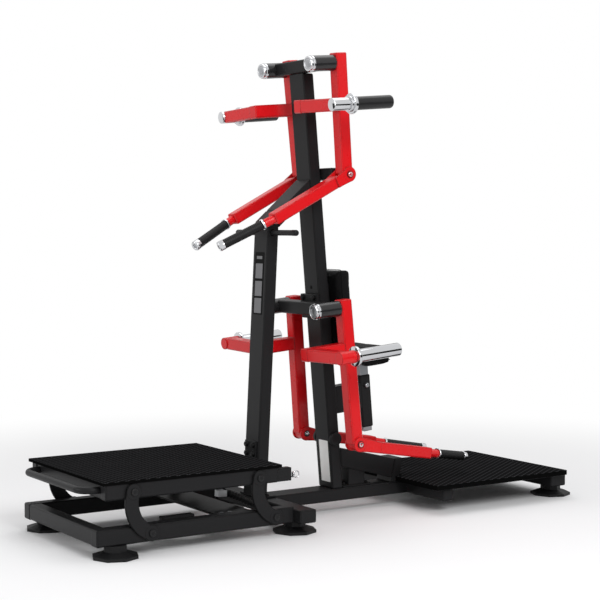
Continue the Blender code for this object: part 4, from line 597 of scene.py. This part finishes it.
@dataclass
class SwingArm:
    """A swing arm's turned pieces: pivot cap and housing, horn, hinge, handle stub and grip.

    Its frames follow the solids: x along the pivot, y across the machine, z along the arm.
    """

    level: Level
    side: Side
    hinge_x: float = 0.148
    horn_offset: float = 0.238
    horn_drop: float = 0.16
    stub_bend: float = 14.0
    grip_length: float = 0.165
    grip_ribs: int = 22

    @property
    def upper(self) -> bool:
        """True at the upper level."""
        return self.level is Level.UPPER

    @property
    def sizes(self) -> ArmSizes:
        """The sizes of this level."""
        return ARM_SIZES[self.level]

    @property
    def still(self) -> Array:
        """The pivot's frame without the arm's rest angle, for what is fixed."""
        x, y, z = self.sizes.pivot
        return move(x - MIDDLE, self.side.value * y, z) @ turn("Y", -LEAN)

    @property
    def swing(self) -> Array:
        """The arm's own frame at rest."""
        return self.still @ turn("X", self.side.value * math.radians(self.sizes.rest))

    @property
    def hinge(self) -> Array:
        """The handle arm's frame at rest, x along the handle arm."""
        base = self.swing @ move(self.hinge_x, 0.0, -self.sizes.length)
        if self.upper:
            base = base @ turn("Z", math.pi)
        return base @ turn("Y", math.radians(self.sizes.handle_lift))

    @property
    def horn_line(self) -> Array:
        """The horn's own frame, x along it."""
        return self.swing @ move(0.0, self.side.value * self.horn_offset, -self.horn_drop)

    @property
    def inward(self) -> int:
        """The sign of local y towards the machine's middle, in the hinge's frame."""
        return self.side.value if self.upper else -self.side.value

    def name(self, word: str) -> str:
        """The name of one of this arm's pieces, nodes or bodies."""
        return f"{self.level.value}_{word}_{self.side.label}"

    def make(
        self, word: str, profile: Profile, place: Array, finish: Finish, arm: str = "",
        *nodes: str, **shape: Any,
    ) -> None:
        """Turns one of this arm's pieces, on the frame or on the body that arm names."""
        body = self.name(arm) if arm else "frame"
        turned(self.name(word), profile, place, finish, body, *nodes, **shape)

    def build(self) -> None:
        """Makes every piece of this arm."""
        self.cap()
        self.housing()
        (self.upper_horn if self.upper else self.lower_horn)()
        self.ears()
        self.handle()

    def cap(self) -> None:
        """The chromed cap: a ring with a groove, round a satin disc set 1 mm in."""
        ring = [(21.46, 1.2), (22.185, 0.4), (23.2, 0), (26.1, 0.2), (28.13, 1.4), (29, 3.4)]
        ring += [(29, 6.6), (27.26, 7.6), (27.26, 10.4), (29, 11.4), (31, 12.8), (31, 18.7)]
        ring += [(30, 19.7)]
        self.make("cap_ring", ring, self.still, CHROME, "", self.name("pivot_cap"))
        disc = [(5.8, 1.1), (15.95, 1.1), (16.53, 1.4), (17.4, 1.4), (17.98, 1), (21.315, 1)]
        disc += [(21.315, 3)]
        self.make("cap_disc", disc, self.still, ZINC)

    def housing(self) -> None:
        """The bearing housing's painted outside, with eased rims."""
        tube = [(24.3, 19.9), (29.3, 19.9), (30.3, 20.9), (30.3, 115.1), (29.3, 116.1)]
        tube += [(24.3, 116.1)]
        self.make("housing_skin", tube, self.still, GLOSS_COAT, loop=True)

    def upper_horn(self) -> None:
        """A chromed boss, collar and flange, and the black sleeve that takes the plates."""
        core = [(22, -64), (23.6, -63.3), (24.2, -61.8), (24.2, 8), (30, 8.6), (31, 9.8)]
        core += [(31, 15), (30, 16.4), (30, 18.6), (35.9, 19), (37.9, 20.2), (38.5, 22.4)]
        core += [(38.5, 29), (37.9, 31.4), (35.9, 32.8), (27, 33)]
        line = self.horn_line
        self.make("horn_fitting", core, line, CHROME, "swing", self.name("horn_core"))
        sleeve = [(24, 33.1), (25, 34.1), (25, 199), (24.4, 202.2), (22.8, 204.6), (20, 206)]
        sleeve += [(13.75, 206)]
        self.make("horn_cover", sleeve, line, ABS, "swing", self.name("horn_sleeve"))

    def lower_horn(self) -> None:
        """A chromed flange and bar, and the painted boss that carries them."""
        bar = [(35.5, 8.3), (37.7, 9.2), (38.5, 11.2), (38.5, 18), (37.7, 20.3), (35.5, 21.3)]
        bar += [(25.8, 21.3), (25, 22.2), (25, 211.5), (24.2, 213.3), (22, 214.5)]
        bar += [(15.5, 214.5), (14.5, 213.1)]
        self.make("horn_bar", bar, self.horn_line, CHROME, "swing", self.name("horn"))
        boss = [(20, -60), (23.2, -60), (24.3, -58.8), (24.3, 7), (23.2, 8.1), (14, 8.1)]
        self.make("horn_boss", boss, self.horn_line, RED_COAT, "swing")

    def ears(self) -> None:
        """Round faces on the hinge's ears, and the plated nut in a black ring on each."""
        disc = [(9.5, 25.2), (29.3, 25.2), (29.3, 31.4), (28.3, 32.4), (9.5, 32.4)]
        for word, sign, seat in (("inner", 1, 32.6), ("outer", -1, 37.0)):
            across = self.hinge @ turn("Z", sign * self.inward * math.pi / 2)
            self.make(f"ear_{word}", disc, across, RED_COAT, "handle", loop=True)
            ring = [(13.6, 32), (13.6, seat - 0.4), (13.2, seat), (9, seat + 0.1)]
            self.make(f"bolt_ring_{word}", ring, across, ABS, "handle")
            nut = [(9.2, -0.3), (8.8, 1), (7.8, 1.7), (3.4, 1.8), (3.1, 0.2)]
            nut = [(radius, seat + at) for radius, at in nut]
            self.make(f"bolt_{word}", nut, across, CHROME, "handle", slot="zinc_steel")

    def handle(self) -> None:
        """The turned-in stub, the chromed ring, the ribbed grip and its chromed end cap."""
        sizes, where = self.sizes, f"{self.level.value}_{self.side.label}"
        bend = math.radians(self.stub_bend)
        way = np.array([math.cos(bend), self.inward * math.sin(bend), 0.0])
        line = self.hinge @ aim(np.array([sizes.stub_at, 0.0, sizes.stub_offset]), way)
        end = sizes.stub_length * MM
        tube = [(14.6, -10), (16.6, -8), (16.6, end - 1), (15.6, end), (10.8, end)]
        self.make("stub_skin", tube, line, RED_COAT, "handle")
        line = line @ move(sizes.stub_length + GAP, 0, 0)
        ring = [(12, 0), (20.5, 0), (21.5, 1), (21.5, 6.8), (20.5, 7.9), (12, 7.9)]
        self.make("grip_ring", ring, line, CHROME, "handle", f"grip_core_{where}")
        end = self.grip_length * MM + 8
        pitch = (end - 16) / self.grip_ribs
        grip = [(11, 8.3), (16.8, 8.3), (18, 9.7)]
        for at in 11.7 + pitch * np.arange(self.grip_ribs):
            grip += [(18, at), (17.5, at + pitch * 0.16)]
            grip += [(17.5, at + pitch * 0.3), (18, at + pitch * 0.46)]
        grip += [(18, end - 1.4), (16.8, end), (11, end)]
        self.make("grip_sleeve", grip, line, RUBBER, "handle", f"grip_{where}")
        cap = [(12, 0), (18.6, 0), (19.5, 1), (19.5, 17.2), (18.8, 19.6), (17.2, 21.2)]
        cap += [(15, 21.8), (8.8, 21.8), (8, 21.2), (7.8, 13)]
        self.make("grip_cap", cap, line @ move(end / MM + GAP, 0, 0), CHROME, "handle")


@dataclass
class Linkage:
    """The lifting deck's four curved links, with round studs at both ends."""

    front_x: float = -0.621 - MIDDLE
    rear_x: float = -0.109 - MIDDLE
    base_z: float = 0.077
    rise: float = 0.151
    lean: float = -0.069
    thickness: float = 0.01
    end_radius: float = 0.029
    bulge: float = 0.061
    waist: float = 0.052
    face_y: float = 0.3175
    steps: int = 40

    def arc(self, crest: float, spread: float) -> Array:
        """One edge of a link: the circle through its two ends and its crest.

        Args:
            crest: how far the edge bows from the line between the pivots.
            spread: how far its ends lie beyond the pivots, away from the circle's centre.

        Returns:
            Points (steps + 1, 2), from the lower pivot to the upper one.
        """
        pivots = (np.zeros(2), np.array([self.lean, self.rise]))
        across = np.array([-self.rise, self.lean]) / np.linalg.norm(pivots[1])
        top = pivots[1] / 2 + across * crest
        centre, _ = self.circle(pivots[0], top, pivots[1])
        out = [p + (p - centre) / np.linalg.norm(p - centre) * spread for p in pivots]
        centre, radius = self.circle(out[0], top, out[1])
        ends = [math.atan2(*(point - centre)[::-1]) for point in out]
        sweep_angle = (ends[1] - ends[0] + math.pi) % (2 * math.pi) - math.pi
        angle = ends[0] + sweep_angle * np.linspace(0, 1, self.steps + 1)
        return centre + radius * np.stack([np.cos(angle), np.sin(angle)], axis=1)

    @staticmethod
    def circle(a: Array, b: Array, c: Array) -> tuple[Array, float]:
        """The centre and radius of the circle through three points."""
        rows = 2 * np.array([b - a, c - a])
        sums = np.array([b @ b - a @ a, c @ c - a @ a])
        centre = np.linalg.solve(rows, sums)
        return centre, float(np.linalg.norm(a - centre))

    def build(self) -> None:
        """Makes the four links and the studs' heads."""
        outer = self.arc(self.bulge, self.end_radius)
        inner = self.arc(self.bulge - self.waist, -self.end_radius)
        for word, base_x in (("front", self.front_x), ("rear", self.rear_x)):
            for side in Side:
                self.link(word, base_x, side, outer, inner)

    def link(self, word: str, base_x: float, side: Side, outer: Array, inner: Array) -> None:
        """One link: a flat bar between its two edges, with a round eye and stud at each end."""
        near, far = self.face_y, self.face_y + self.thickness
        rings = np.empty((self.steps + 1, 4, 3))
        corners = ((outer, near), (outer, far), (inner, far), (inner, near))
        for index, (edge, y) in enumerate(corners):
            rings[:, index, 0] = base_x + edge[:, 0]
            rings[:, index, 1] = side.value * y
            rings[:, index, 2] = self.base_z + edge[:, 1]
        name, body = f"{word}_link_bar_{side.label}", f"{word}_links"
        piece = skin(name, rings, BLACK_COAT)
        bevel = piece.modifiers.new("eased", "BEVEL")
        bevel.width = 0.0011
        bevel.segments = 2
        settle(piece, BLACK_COAT.slot, body, f"{word}_link_{side.label}")
        eye = [(9.6, -0.1), (28, -0.1), (29, 1), (29, 9), (28, 10.1), (9.6, 10.1)]
        head = [(12.4, 10.3), (12.8, 10.9), (12.8, 13.7), (11.7, 15.3), (6.2, 15.7), (5.6, 14.1)]
        ends = ((0.0, 0.0, "frame"), (self.lean, self.rise, "lifting_deck"))
        outward = turn("Z", side.value * math.pi / 2)
        for index, (x, z, holder) in enumerate(ends):
            place = move(base_x + x, side.value * near, self.base_z + z) @ outward
            turned(f"{name}_eye_{index}", eye, place, BLACK_COAT, body, loop=True)
            turned(f"{name}_stud_{index}", head, place, ABS, holder, slot="black_paint")


@dataclass
class Cushion:
    """An upholstered pad, inflated by a cloth simulation and laid over its solid's place."""

    node: str
    body: str
    place: Array
    size: Triple
    corner: float
    crown: float
    round: float = 0.01
    cap: float = 0.006
    voxel: float = 0.005
    pressure: float = 4.0
    frames: int = 20

    def shell(self) -> Object:
        """The starting form: rounded rectangles whose width follows a rounded side, with a crown.

        Across the thickness the outline is drawn in by round (1 - sqrt(1 - t^4)), and the middle
        of the outer face rises by the crown.
        """
        long, wide, thick = self.size
        shrink = 0.0022
        levels = np.linspace(-1, 1, 13)
        rings = []
        for level in levels:
            inset = shrink + self.round * (1 - (1 - abs(level) ** 4) ** 0.5)
            sides = (long - 2 * inset, wide - 2 * inset)
            up = level * (thick / 2 - shrink)
            rings.append(rounded_rectangle(*sides, self.corner - inset / 2, up, 6))
        last = rings[-1]
        for share in (0.82, 0.6, 0.35, 0.12):
            inner = last * (share, share, 1.0)
            inner[:, 2] += self.crown * (1 - share**2)
            rings.append(inner)
        return skin(f"{self.node}_shell", carried(np.array(rings), self.place), VINYL)

    def build(self) -> None:
        """Makes the pad and its seam."""
        piece = self.shell()
        piece.name = f"{self.node}_cover"
        self.remesh(piece)
        self.inflate(piece)
        smooth = piece.modifiers.new("smooth", "SUBSURF")
        smooth.levels = smooth.render_levels = 1
        piece.data.shade_smooth()
        settle(piece, VINYL.slot, self.body, self.node)
        self.seam()

    def remesh(self, piece: Object) -> None:
        """Gives the shell an even grid of faces, by a voxel remesh."""
        step = piece.modifiers.new("even", "REMESH")
        step.mode = "VOXEL"
        step.voxel_size = self.voxel
        self.freeze(piece)

    def freeze(self, piece: Object) -> None:
        """Puts the modifiers' result in the mesh and takes them off."""
        bpy.context.view_layer.update()
        graph = bpy.context.evaluated_depsgraph_get()
        made = bpy.data.meshes.new_from_object(piece.evaluated_get(graph))
        piece.modifiers.clear()
        old = piece.data
        piece.data = made
        bpy.data.meshes.remove(old)
        if not made.materials:
            made.materials.append(VINYL.material())

    def inflate(self, piece: Object) -> None:
        """Blows the cover up from inside, and caps how far any point moves."""
        count = len(piece.data.vertices)
        before = np.empty(count * 3)
        piece.data.vertices.foreach_get("co", before)
        cloth = piece.modifiers.new("blown", "CLOTH")
        cloth.settings.use_pressure = True
        cloth.settings.uniform_pressure_force = self.pressure
        cloth.settings.quality = 5
        cloth.settings.effector_weights.gravity = 0.0
        cloth.point_cache.frame_end = self.frames
        for frame in range(1, self.frames + 1):
            bpy.context.scene.frame_set(frame)
        self.freeze(piece)
        bpy.context.scene.frame_set(1)
        after = np.empty(count * 3)
        piece.data.vertices.foreach_get("co", after)
        moved = (after - before).reshape(-1, 3)
        far = np.linalg.norm(moved, axis=1)
        scale = np.minimum(1.0, self.cap / np.maximum(far, 1e-9))
        kept = before + (moved * scale[:, None]).ravel()
        piece.data.vertices.foreach_set("co", kept)
        piece.data.update()

    def seam(self) -> None:
        """A sewn welt round the pad, near its back."""
        long, wide, thick = self.size
        path = rounded_rectangle(long - 0.003, wide - 0.003, self.corner, -thick * 0.3, 9)
        path = carried(path, self.place)
        piece = sweep(f"{self.node}_welt", path, 0.0014, VINYL, sides=10, loop=True)
        settle(piece, VINYL.slot, self.body)


@dataclass
class Bars:
    """The deck's loop handle, the hand bar through the post and the column's buffers."""

    loop_x: float = -0.852 - MIDDLE
    loop_start: float = -0.79 - MIDDLE
    loop_half: float = 0.256
    loop_bend: float = 0.055
    loop_z: float = 0.2347
    loop_radius: float = 0.0125
    hand_z: float = 1.12

    def build(self) -> None:
        """Makes the bars."""
        self.loop_handle()
        self.hand_bar()
        self.buffers()

    def loop_handle(self) -> None:
        """The loop: two straight ends, two quarter bends and the straight grip between them."""
        angle = np.linspace(0, math.pi / 2, 18)
        x = np.append(self.loop_start - GAP, self.loop_x + self.loop_bend * (1 - np.sin(angle)))
        y = np.append(self.loop_half, self.loop_half - self.loop_bend * (1 - np.cos(angle)))
        x, y = np.append(x, x[::-1]), np.append(y, -y[::-1])
        path = np.column_stack([x, y, np.full(len(x), self.loop_z)])
        piece = sweep("loop_handle_bar", path, self.loop_radius, BLACK_COAT)
        settle(piece, BLACK_COAT.slot, "lifting_deck", "deck_loop_handle")

    def hand_bar(self) -> None:
        """The straight bar through the post, with rounded ends."""
        ends = [(4, 218), (8.5, 216.8), (10.8, 214.4), (11.5, 211.5), (11.5, 189), (10.9, 188.6)]
        profile = ends + [(r, -d) for r, d in reversed(ends)]
        place = move(post_x(self.hand_z) + HALF, 0, self.hand_z) @ turn("Z", math.pi / 2)
        turned("hand_bar_skin", profile, place, BLACK_COAT, "frame", "hand_bar")

    def buffers(self) -> None:
        """The two rubber discs on the column's sides, with a moulded groove in their faces."""
        for side in Side:
            node = f"lower_bumper_{side.label}"
            low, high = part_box(node)
            start, end = sorted((abs(low.y) * MM, abs(high.y) * MM))
            middle = (low + high) / 2
            place = move(middle.x, 0, middle.z) @ turn("Z", side.value * math.pi / 2)
            profile = [(26.2, start), (27, start + 1), (27, end - 4), (26.3, end - 1.6)]
            profile += [(24.6, end - 0.3), (22.2, end - 0.1), (21.2, end - 1)]
            profile += [(20.2, end - 0.4), (10, end)]
            turned(f"buffer_{side.label}", profile, place, RUBBER, "frame", node)


@dataclass
class LockParts:
    """The pull pin with its ring, the chest post's pin, and the strut under the deck."""

    knob_x: float = -0.0332 - MIDDLE
    knob_y: float = -0.297
    knob_z: float = 0.2237
    ring_offset: float = 0.0302
    ring_radius: float = 0.012
    ring_wire: float = 0.0022
    ring_steps: int = 48
    strut_y: float = -0.105
    strut_ribs: int = 12

    def build(self) -> None:
        """Makes the lock parts."""
        self.pull_pin()
        self.chest_pin()
        self.strut()

    def pull_pin(self) -> None:
        """The waisted chromed knob and the split ring through it."""
        knob = [(5, -20), (5, 0), (7.2, 0.4), (6.6, 3), (6.4, 8), (8.2, 9.6), (10.6, 11)]
        knob += [(11, 12.6), (11, 16), (10.4, 17.6), (8.6, 19.2), (5.8, 20), (2, 20.2)]
        place = move(self.knob_x, self.knob_y, self.knob_z)
        turned("pull_knob", knob, place, CHROME, "deck_pin", "deck_pull_pin")
        angle = np.linspace(0, 2 * math.pi, self.ring_steps, endpoint=False)
        x = self.knob_x + self.ring_offset + self.ring_radius * np.cos(angle)
        z = self.knob_z + self.ring_radius * np.sin(angle)
        path = np.column_stack([x, np.full(self.ring_steps, self.knob_y), z])
        ring = sweep("pull_ring", path, self.ring_wire, CHROME, 14, loop=True)
        settle(ring, CHROME.slot, "deck_pin")

    def chest_pin(self) -> None:
        """The chest post's pin: a pale domed button on the sleeve's side."""
        place = chest_place() @ move(0, -0.0255, 0.065) @ turn("Z", -math.pi / 2)
        button = [(10, 0.3), (10.4, 1), (10.4, 8), (9.6, 11.2), (7.6, 13.4), (4.5, 14.3)]
        name, node = "chest_pin_button", "chest_lock_pin"
        turned(name, button, place, ZINC, "chest_pin", node, slot="chrome")

    def strut(self) -> None:
        """The strut's ribbed cover and the machined block at its upper end."""
        low = np.array([-0.04 - MIDDLE, self.strut_y, 0.069])
        high = np.array([-0.188 - MIDDLE, self.strut_y, 0.143])
        pitch = float(np.linalg.norm(high - low)) * MM / self.strut_ribs
        profile = [(11.2, 0)]
        for at in pitch * np.arange(self.strut_ribs):
            profile += [(11.8, at + 0.4), (13.5, at + pitch * 0.3)]
            profile += [(13.5, at + pitch * 0.6), (11.8, at + pitch * 0.9)]
        turned("strut_cover", profile, aim(low, high - low), RUBBER, "frame", sides=32)
        place = move(-0.216 - MIDDLE, self.strut_y, 0.1439) @ turn("Y", math.radians(3.3))
        piece = slab("strut_head_plate", (0.0406, 0.0256, 0.0256), 0.002, place, BLOCK, 0.0008)
        settle(piece, BLOCK.slot, "frame")


@dataclass
class Trim:
    """Small fasteners, bare label panels, and black discs of painted shade on the column's holes.
    """

    bolt_y: float = 0.252
    bolt_start: float = -0.315
    bolt_span: float = 0.152
    placard_z: float = 0.924
    label_z: float = 0.206
    plug_heights: Pair = (0.903, 0.64)

    def build(self) -> None:
        """Makes the trim."""
        self.plate_bolts()
        self.placard()
        self.foot_label()
        self.column_holes()

    def plate_bolts(self) -> None:
        """Hexagon heads on washers: the zinc bolts of the cross plate between the base rails."""
        washer = [(12, 0), (12, 1.6), (11.2, 2.2)]
        head = [(10.3, 1.8), (10.3, 7.4), (9.2, 8.4), (3, 8.4)]
        for index, (share, side) in enumerate(((0.1, -1), (0.1, 1), (0.33, -1), (0.33, 1))):
            x = self.bolt_start + share * self.bolt_span - MIDDLE
            place = move(x, side * self.bolt_y, BASE_TOP) @ turn("Y", -math.pi / 2)
            turned(f"plate_bolt_{index}_washer", washer, place, ZINC, "frame", sides=40)
            turned(f"plate_bolt_{index}_head", head, place, ZINC, "frame", sides=6)

    @staticmethod
    def front_face(x: float, rise: float, y: float, z: float) -> Array:
        """A place on a leaning tube's front face: x across it, y up it, z out of it.

        The rise is how far the tube runs along X for each metre up.
        """
        up = np.array([rise, 0, 1.0])
        face = np.eye(4)
        face[:3, 0] = (0, -1, 0)
        face[:3, 1] = up / np.linalg.norm(up)
        face[:3, 2] = np.cross(face[:3, 0], face[:3, 1])
        face[:3, 3] = (x, y, z)
        return face

    def film(self, name: str, size: Triple, place: Array, kind: Finish) -> None:
        """A thin film panel on the frame."""
        radius, edge = (0.003, 0.0003) if kind is BLACK_FILM else (0.002, 0.0002)
        settle(slab(name, size, radius, place, kind, edge), kind.slot, "frame")

    def placard(self) -> None:
        """The post's instruction placard, left bare: a dark panel, three windows and a band."""
        z = self.placard_z
        place = self.front_face(post_x(z), POST_RISE, 0, z)
        size = (0.066, 0.242, 0.0008)
        self.film("placard_panel", size, place @ move(0, 0, 0.0004), BLACK_FILM)
        size = (0.05, 0.058, 0.0005)
        for index, up in enumerate((0.048, -0.02, -0.086)):
            self.film(f"placard_window_{index}", size, place @ move(0, up, 0.001), GREY_FILM)
        size = (0.04, 0.012, 0.0005)
        self.film("placard_band", size, place @ move(0, 0.1, 0.001), GREY_FILM)

    def foot_label(self) -> None:
        """The pale label at the column's foot, left bare."""
        z = self.label_z
        place = self.front_face(column_x(z), -math.tan(LEAN), -0.006, z) @ move(0, 0, 0.0003)
        self.film("foot_label", (0.062, 0.168, 0.0006), place, PALE_FILM)

    def column_holes(self) -> None:
        """Two small holes on the column's front face, each drawn as a thin black disc of painted
        shade.
        """
        shade_disc = [(7.8, -0.2), (7.8, 0.4), (6.6, 0.7), (1.2, 0.7)]
        for index, z in enumerate(self.plug_heights):
            place = move(column_x(z), 0.001, z) @ turn("Y", -LEAN) @ turn("Z", math.pi)
            turned(f"column_plug_{index}", shade_disc, place, BLACK_FILM, "frame", sides=24)


@dataclass
class Studio:
    """The camera of the photograph, the pale floor, the white surround and soft lamps."""

    place: Triple = (-2.9964 - MIDDLE, -4.8884, 1.155)
    heading: float = 33.25
    tilt: float = -2.95
    focal_pixels: float = 1482.3
    frame_pixels: float = 600.0
    sensor: float = 36.0
    reach: float = 40.0

    def build(self) -> None:
        """Makes the camera, the floor, the world and the lamps."""
        self.camera()
        self.floor()
        self.world()
        self.card("right_card", (2.3, -3.6, 0.9), (4.4, 1.6))
        self.card("left_card", (-4.6, 2.6, 0.95), (2.6, 1.5))
        self.card("back_card", (3.9, 5.6, 1.15), (8.0, 2.3))
        self.lamp("key", (-0.8, -4.6, 3.4), (0.0, 0.0, 0.8), 150.0, 2.2)
        self.lamp("fill", (-5.0, 1.2, 1.8), (0.0, 0.0, 0.8), 58.0, 2.0)
        self.lamp("top", (0.6, 0.6, 4.6), (0.0, 0.0, 0.6), 48.0, 3.0)
        bpy.context.scene.view_settings.view_transform = "Standard"

    def camera(self) -> None:
        """The camera, looking along its heading and tilt."""
        data = bpy.data.cameras.new("photo_camera")
        data.sensor_width = self.sensor
        data.lens = self.sensor * self.focal_pixels / self.frame_pixels
        data.clip_start, data.clip_end = 0.1, 100.0
        made = placed("photo_camera", data)
        a, e = math.radians(self.heading), math.radians(self.tilt)
        look = Vector((math.sin(a) * math.cos(e), math.cos(a) * math.cos(e), math.sin(e)))
        right = Vector((math.cos(a), -math.sin(a), 0.0))
        rows = Matrix((right, right.cross(look), -look)).transposed().to_4x4()
        made.matrix_world = Matrix.Translation(self.place) @ rows
        bpy.context.scene.camera = made

    @staticmethod
    def sheet(name: str, corners: list[Any], material: bpy.types.Material) -> Object:
        """One flat face of the stage, between four corners."""
        mesh = bpy.data.meshes.new(name)
        mesh.from_pydata(corners, [], [(0, 1, 2, 3)])
        mesh.materials.append(material)
        made = placed(name, mesh)
        return made

    def floor(self) -> None:
        """A wide pale floor that fades to white away from the machine."""
        material = bpy.data.materials.new("pale_studio_floor")
        nodes = Nodes(material)
        place = nodes.add("TexCoord").outputs["Object"]
        distance = nodes.add("VectorMath", {"operation": "LENGTH", 0: place}).outputs["Value"]
        fade = nodes.ranged(distance, (1.2, 3.4), soft=True)
        share = nodes.math("MULTIPLY", fade, self.seen_ray(nodes))
        values = {"Base Color": linear("#f8f8f9"), "Roughness": 0.7, "Specular IOR Level": 0.0}
        shader = nodes.add("BsdfPrincipled", values).outputs["BSDF"]
        white = nodes.add("Emission", {"Color": (1, 1, 1, 1), "Strength": 1.0})
        values = {0: share, 1: shader, 2: white.outputs["Emission"]}
        surface = nodes.add("MixShader", values).outputs["Shader"]
        nodes.add("OutputMaterial", {"Surface": surface})
        far = self.reach
        corners = [(-far, -far, 0), (far, -far, 0), (far, far, 0), (-far, far, 0)]
        self.sheet("studio_floor", corners, material).location.z = -0.0005

    def seen_ray(self, nodes: Nodes) -> Socket:
        """One for camera, glossy and transmission rays, else nought."""
        path = nodes.add("LightPath").outputs
        first = nodes.math("MAXIMUM", path["Is Camera Ray"], path["Is Glossy Ray"])
        return nodes.math("MAXIMUM", first, path["Is Transmission Ray"])

    def world(self) -> None:
        """A white surround for what the camera sees, and a softer one that lights the machine."""
        made = bpy.data.worlds.new("studio_surround")
        nodes = Nodes(made)
        power = nodes.ranged(self.seen_ray(nodes), (0.0, 1.0), (0.5, 1.0))
        light = nodes.add("Background", {"Color": (1, 1, 1, 1), "Strength": power})
        nodes.add("OutputWorld", {"Surface": light.outputs["Background"]})
        bpy.context.scene.world = made

    def card(self, name: str, place: Triple, size: Pair) -> None:
        """A studio's black card, upright and facing the machine, seen only in reflections.

        It gives plated steel its dark streaks, lights and shades nothing, and the camera
        doesn't see it.

        Args:
            name: the card's name.
            place: its middle.
            size: its width and height.
        """
        wide, high = size
        way = Vector((place[0], place[1], 0.0)).normalized()
        across = Vector((-way.y, way.x, 0.0)) * wide / 2
        up = Vector((0.0, 0.0, high / 2))
        signs = ((-1, -1), (1, -1), (1, 1), (-1, 1))
        corners = [Vector(place) + across * a + up * u for a, u in signs]
        made = self.sheet(name, corners, ABS.material())
        made.visible_camera = made.visible_diffuse = made.visible_shadow = False
        made.visible_transmission = made.visible_volume_scatter = False

    def lamp(self, name: str, place: Triple, target: Triple, power: float, size: float) -> None:
        """A square soft lamp that looks at a point.

        Args:
            name: the lamp's name.
            place: where it stands.
            target: what it looks at.
            power: in watts.
            size: its side in metres.
        """
        data = bpy.data.lights.new(f"{name}_lamp", "AREA")
        data.energy = power
        data.size = size
        way = (Vector(target) - Vector(place)).to_track_quat("-Z", "Y").to_matrix().to_4x4()
        placed(data.name, data).matrix_world = Matrix.Translation(place) @ way


def dress_nodes(frame: dict[str, Any]) -> None:
    """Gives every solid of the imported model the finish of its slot.
    """
    slots = {row["node"]: row["material_slot"] for row in frame["record"]["subparts"]}
    for name, node in frame["nodes"].items():
        finish = SLOT_FINISH[slots[name]]
        if not node.material_slots:
            node.data.materials.append(finish.material())
        for slot in node.material_slots:
            slot.material = finish.material()
        LOG.info("%s: %s", name, finish.name)


def pads() -> list[Cushion]:
    """The head pad behind the column and the chest pad on its post, on their plates."""
    head_z, head_size = 0.81, (0.3293, 0.23, 0.056)
    head_x = column_x(head_z) + (0.0596 + 2 * GAP) / math.cos(LEAN)
    head = move(head_x, 0, head_z) @ turn("Y", math.pi / 2 - LEAN)
    head = head @ move(0, 0, head_size[2] / 2)
    chest_size = (0.122, 0.254, 0.066)
    post_top = (CHEST_TOP - CHEST_FOOT) / math.cos(LEAN) + 0.003 + GAP
    chest = chest_place() @ move(0, 0, post_top + chest_size[2] / 2)
    return [
        Cushion("head_pad", "frame", head, head_size, 0.011, 0.005, 0.008),
        Cushion("chest_pad", "chest_support", chest, chest_size, 0.007, 0.003, 0.0025),
    ]


def main() -> None:
    """Builds the scene: the frame, the pieces in order, and the studio."""
    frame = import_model()
    dress_nodes(frame)
    for level in Level:
        for side in Side:
            SwingArm(level, side).build()
    Linkage().build()
    Bars().build()
    LockParts().build()
    for pad in pads():
        pad.build()
    Trim().build()
    Studio().build()


if __name__ == "__main__":
    logging.basicConfig(level=logging.INFO, format="%(name)s: %(message)s")
    main()
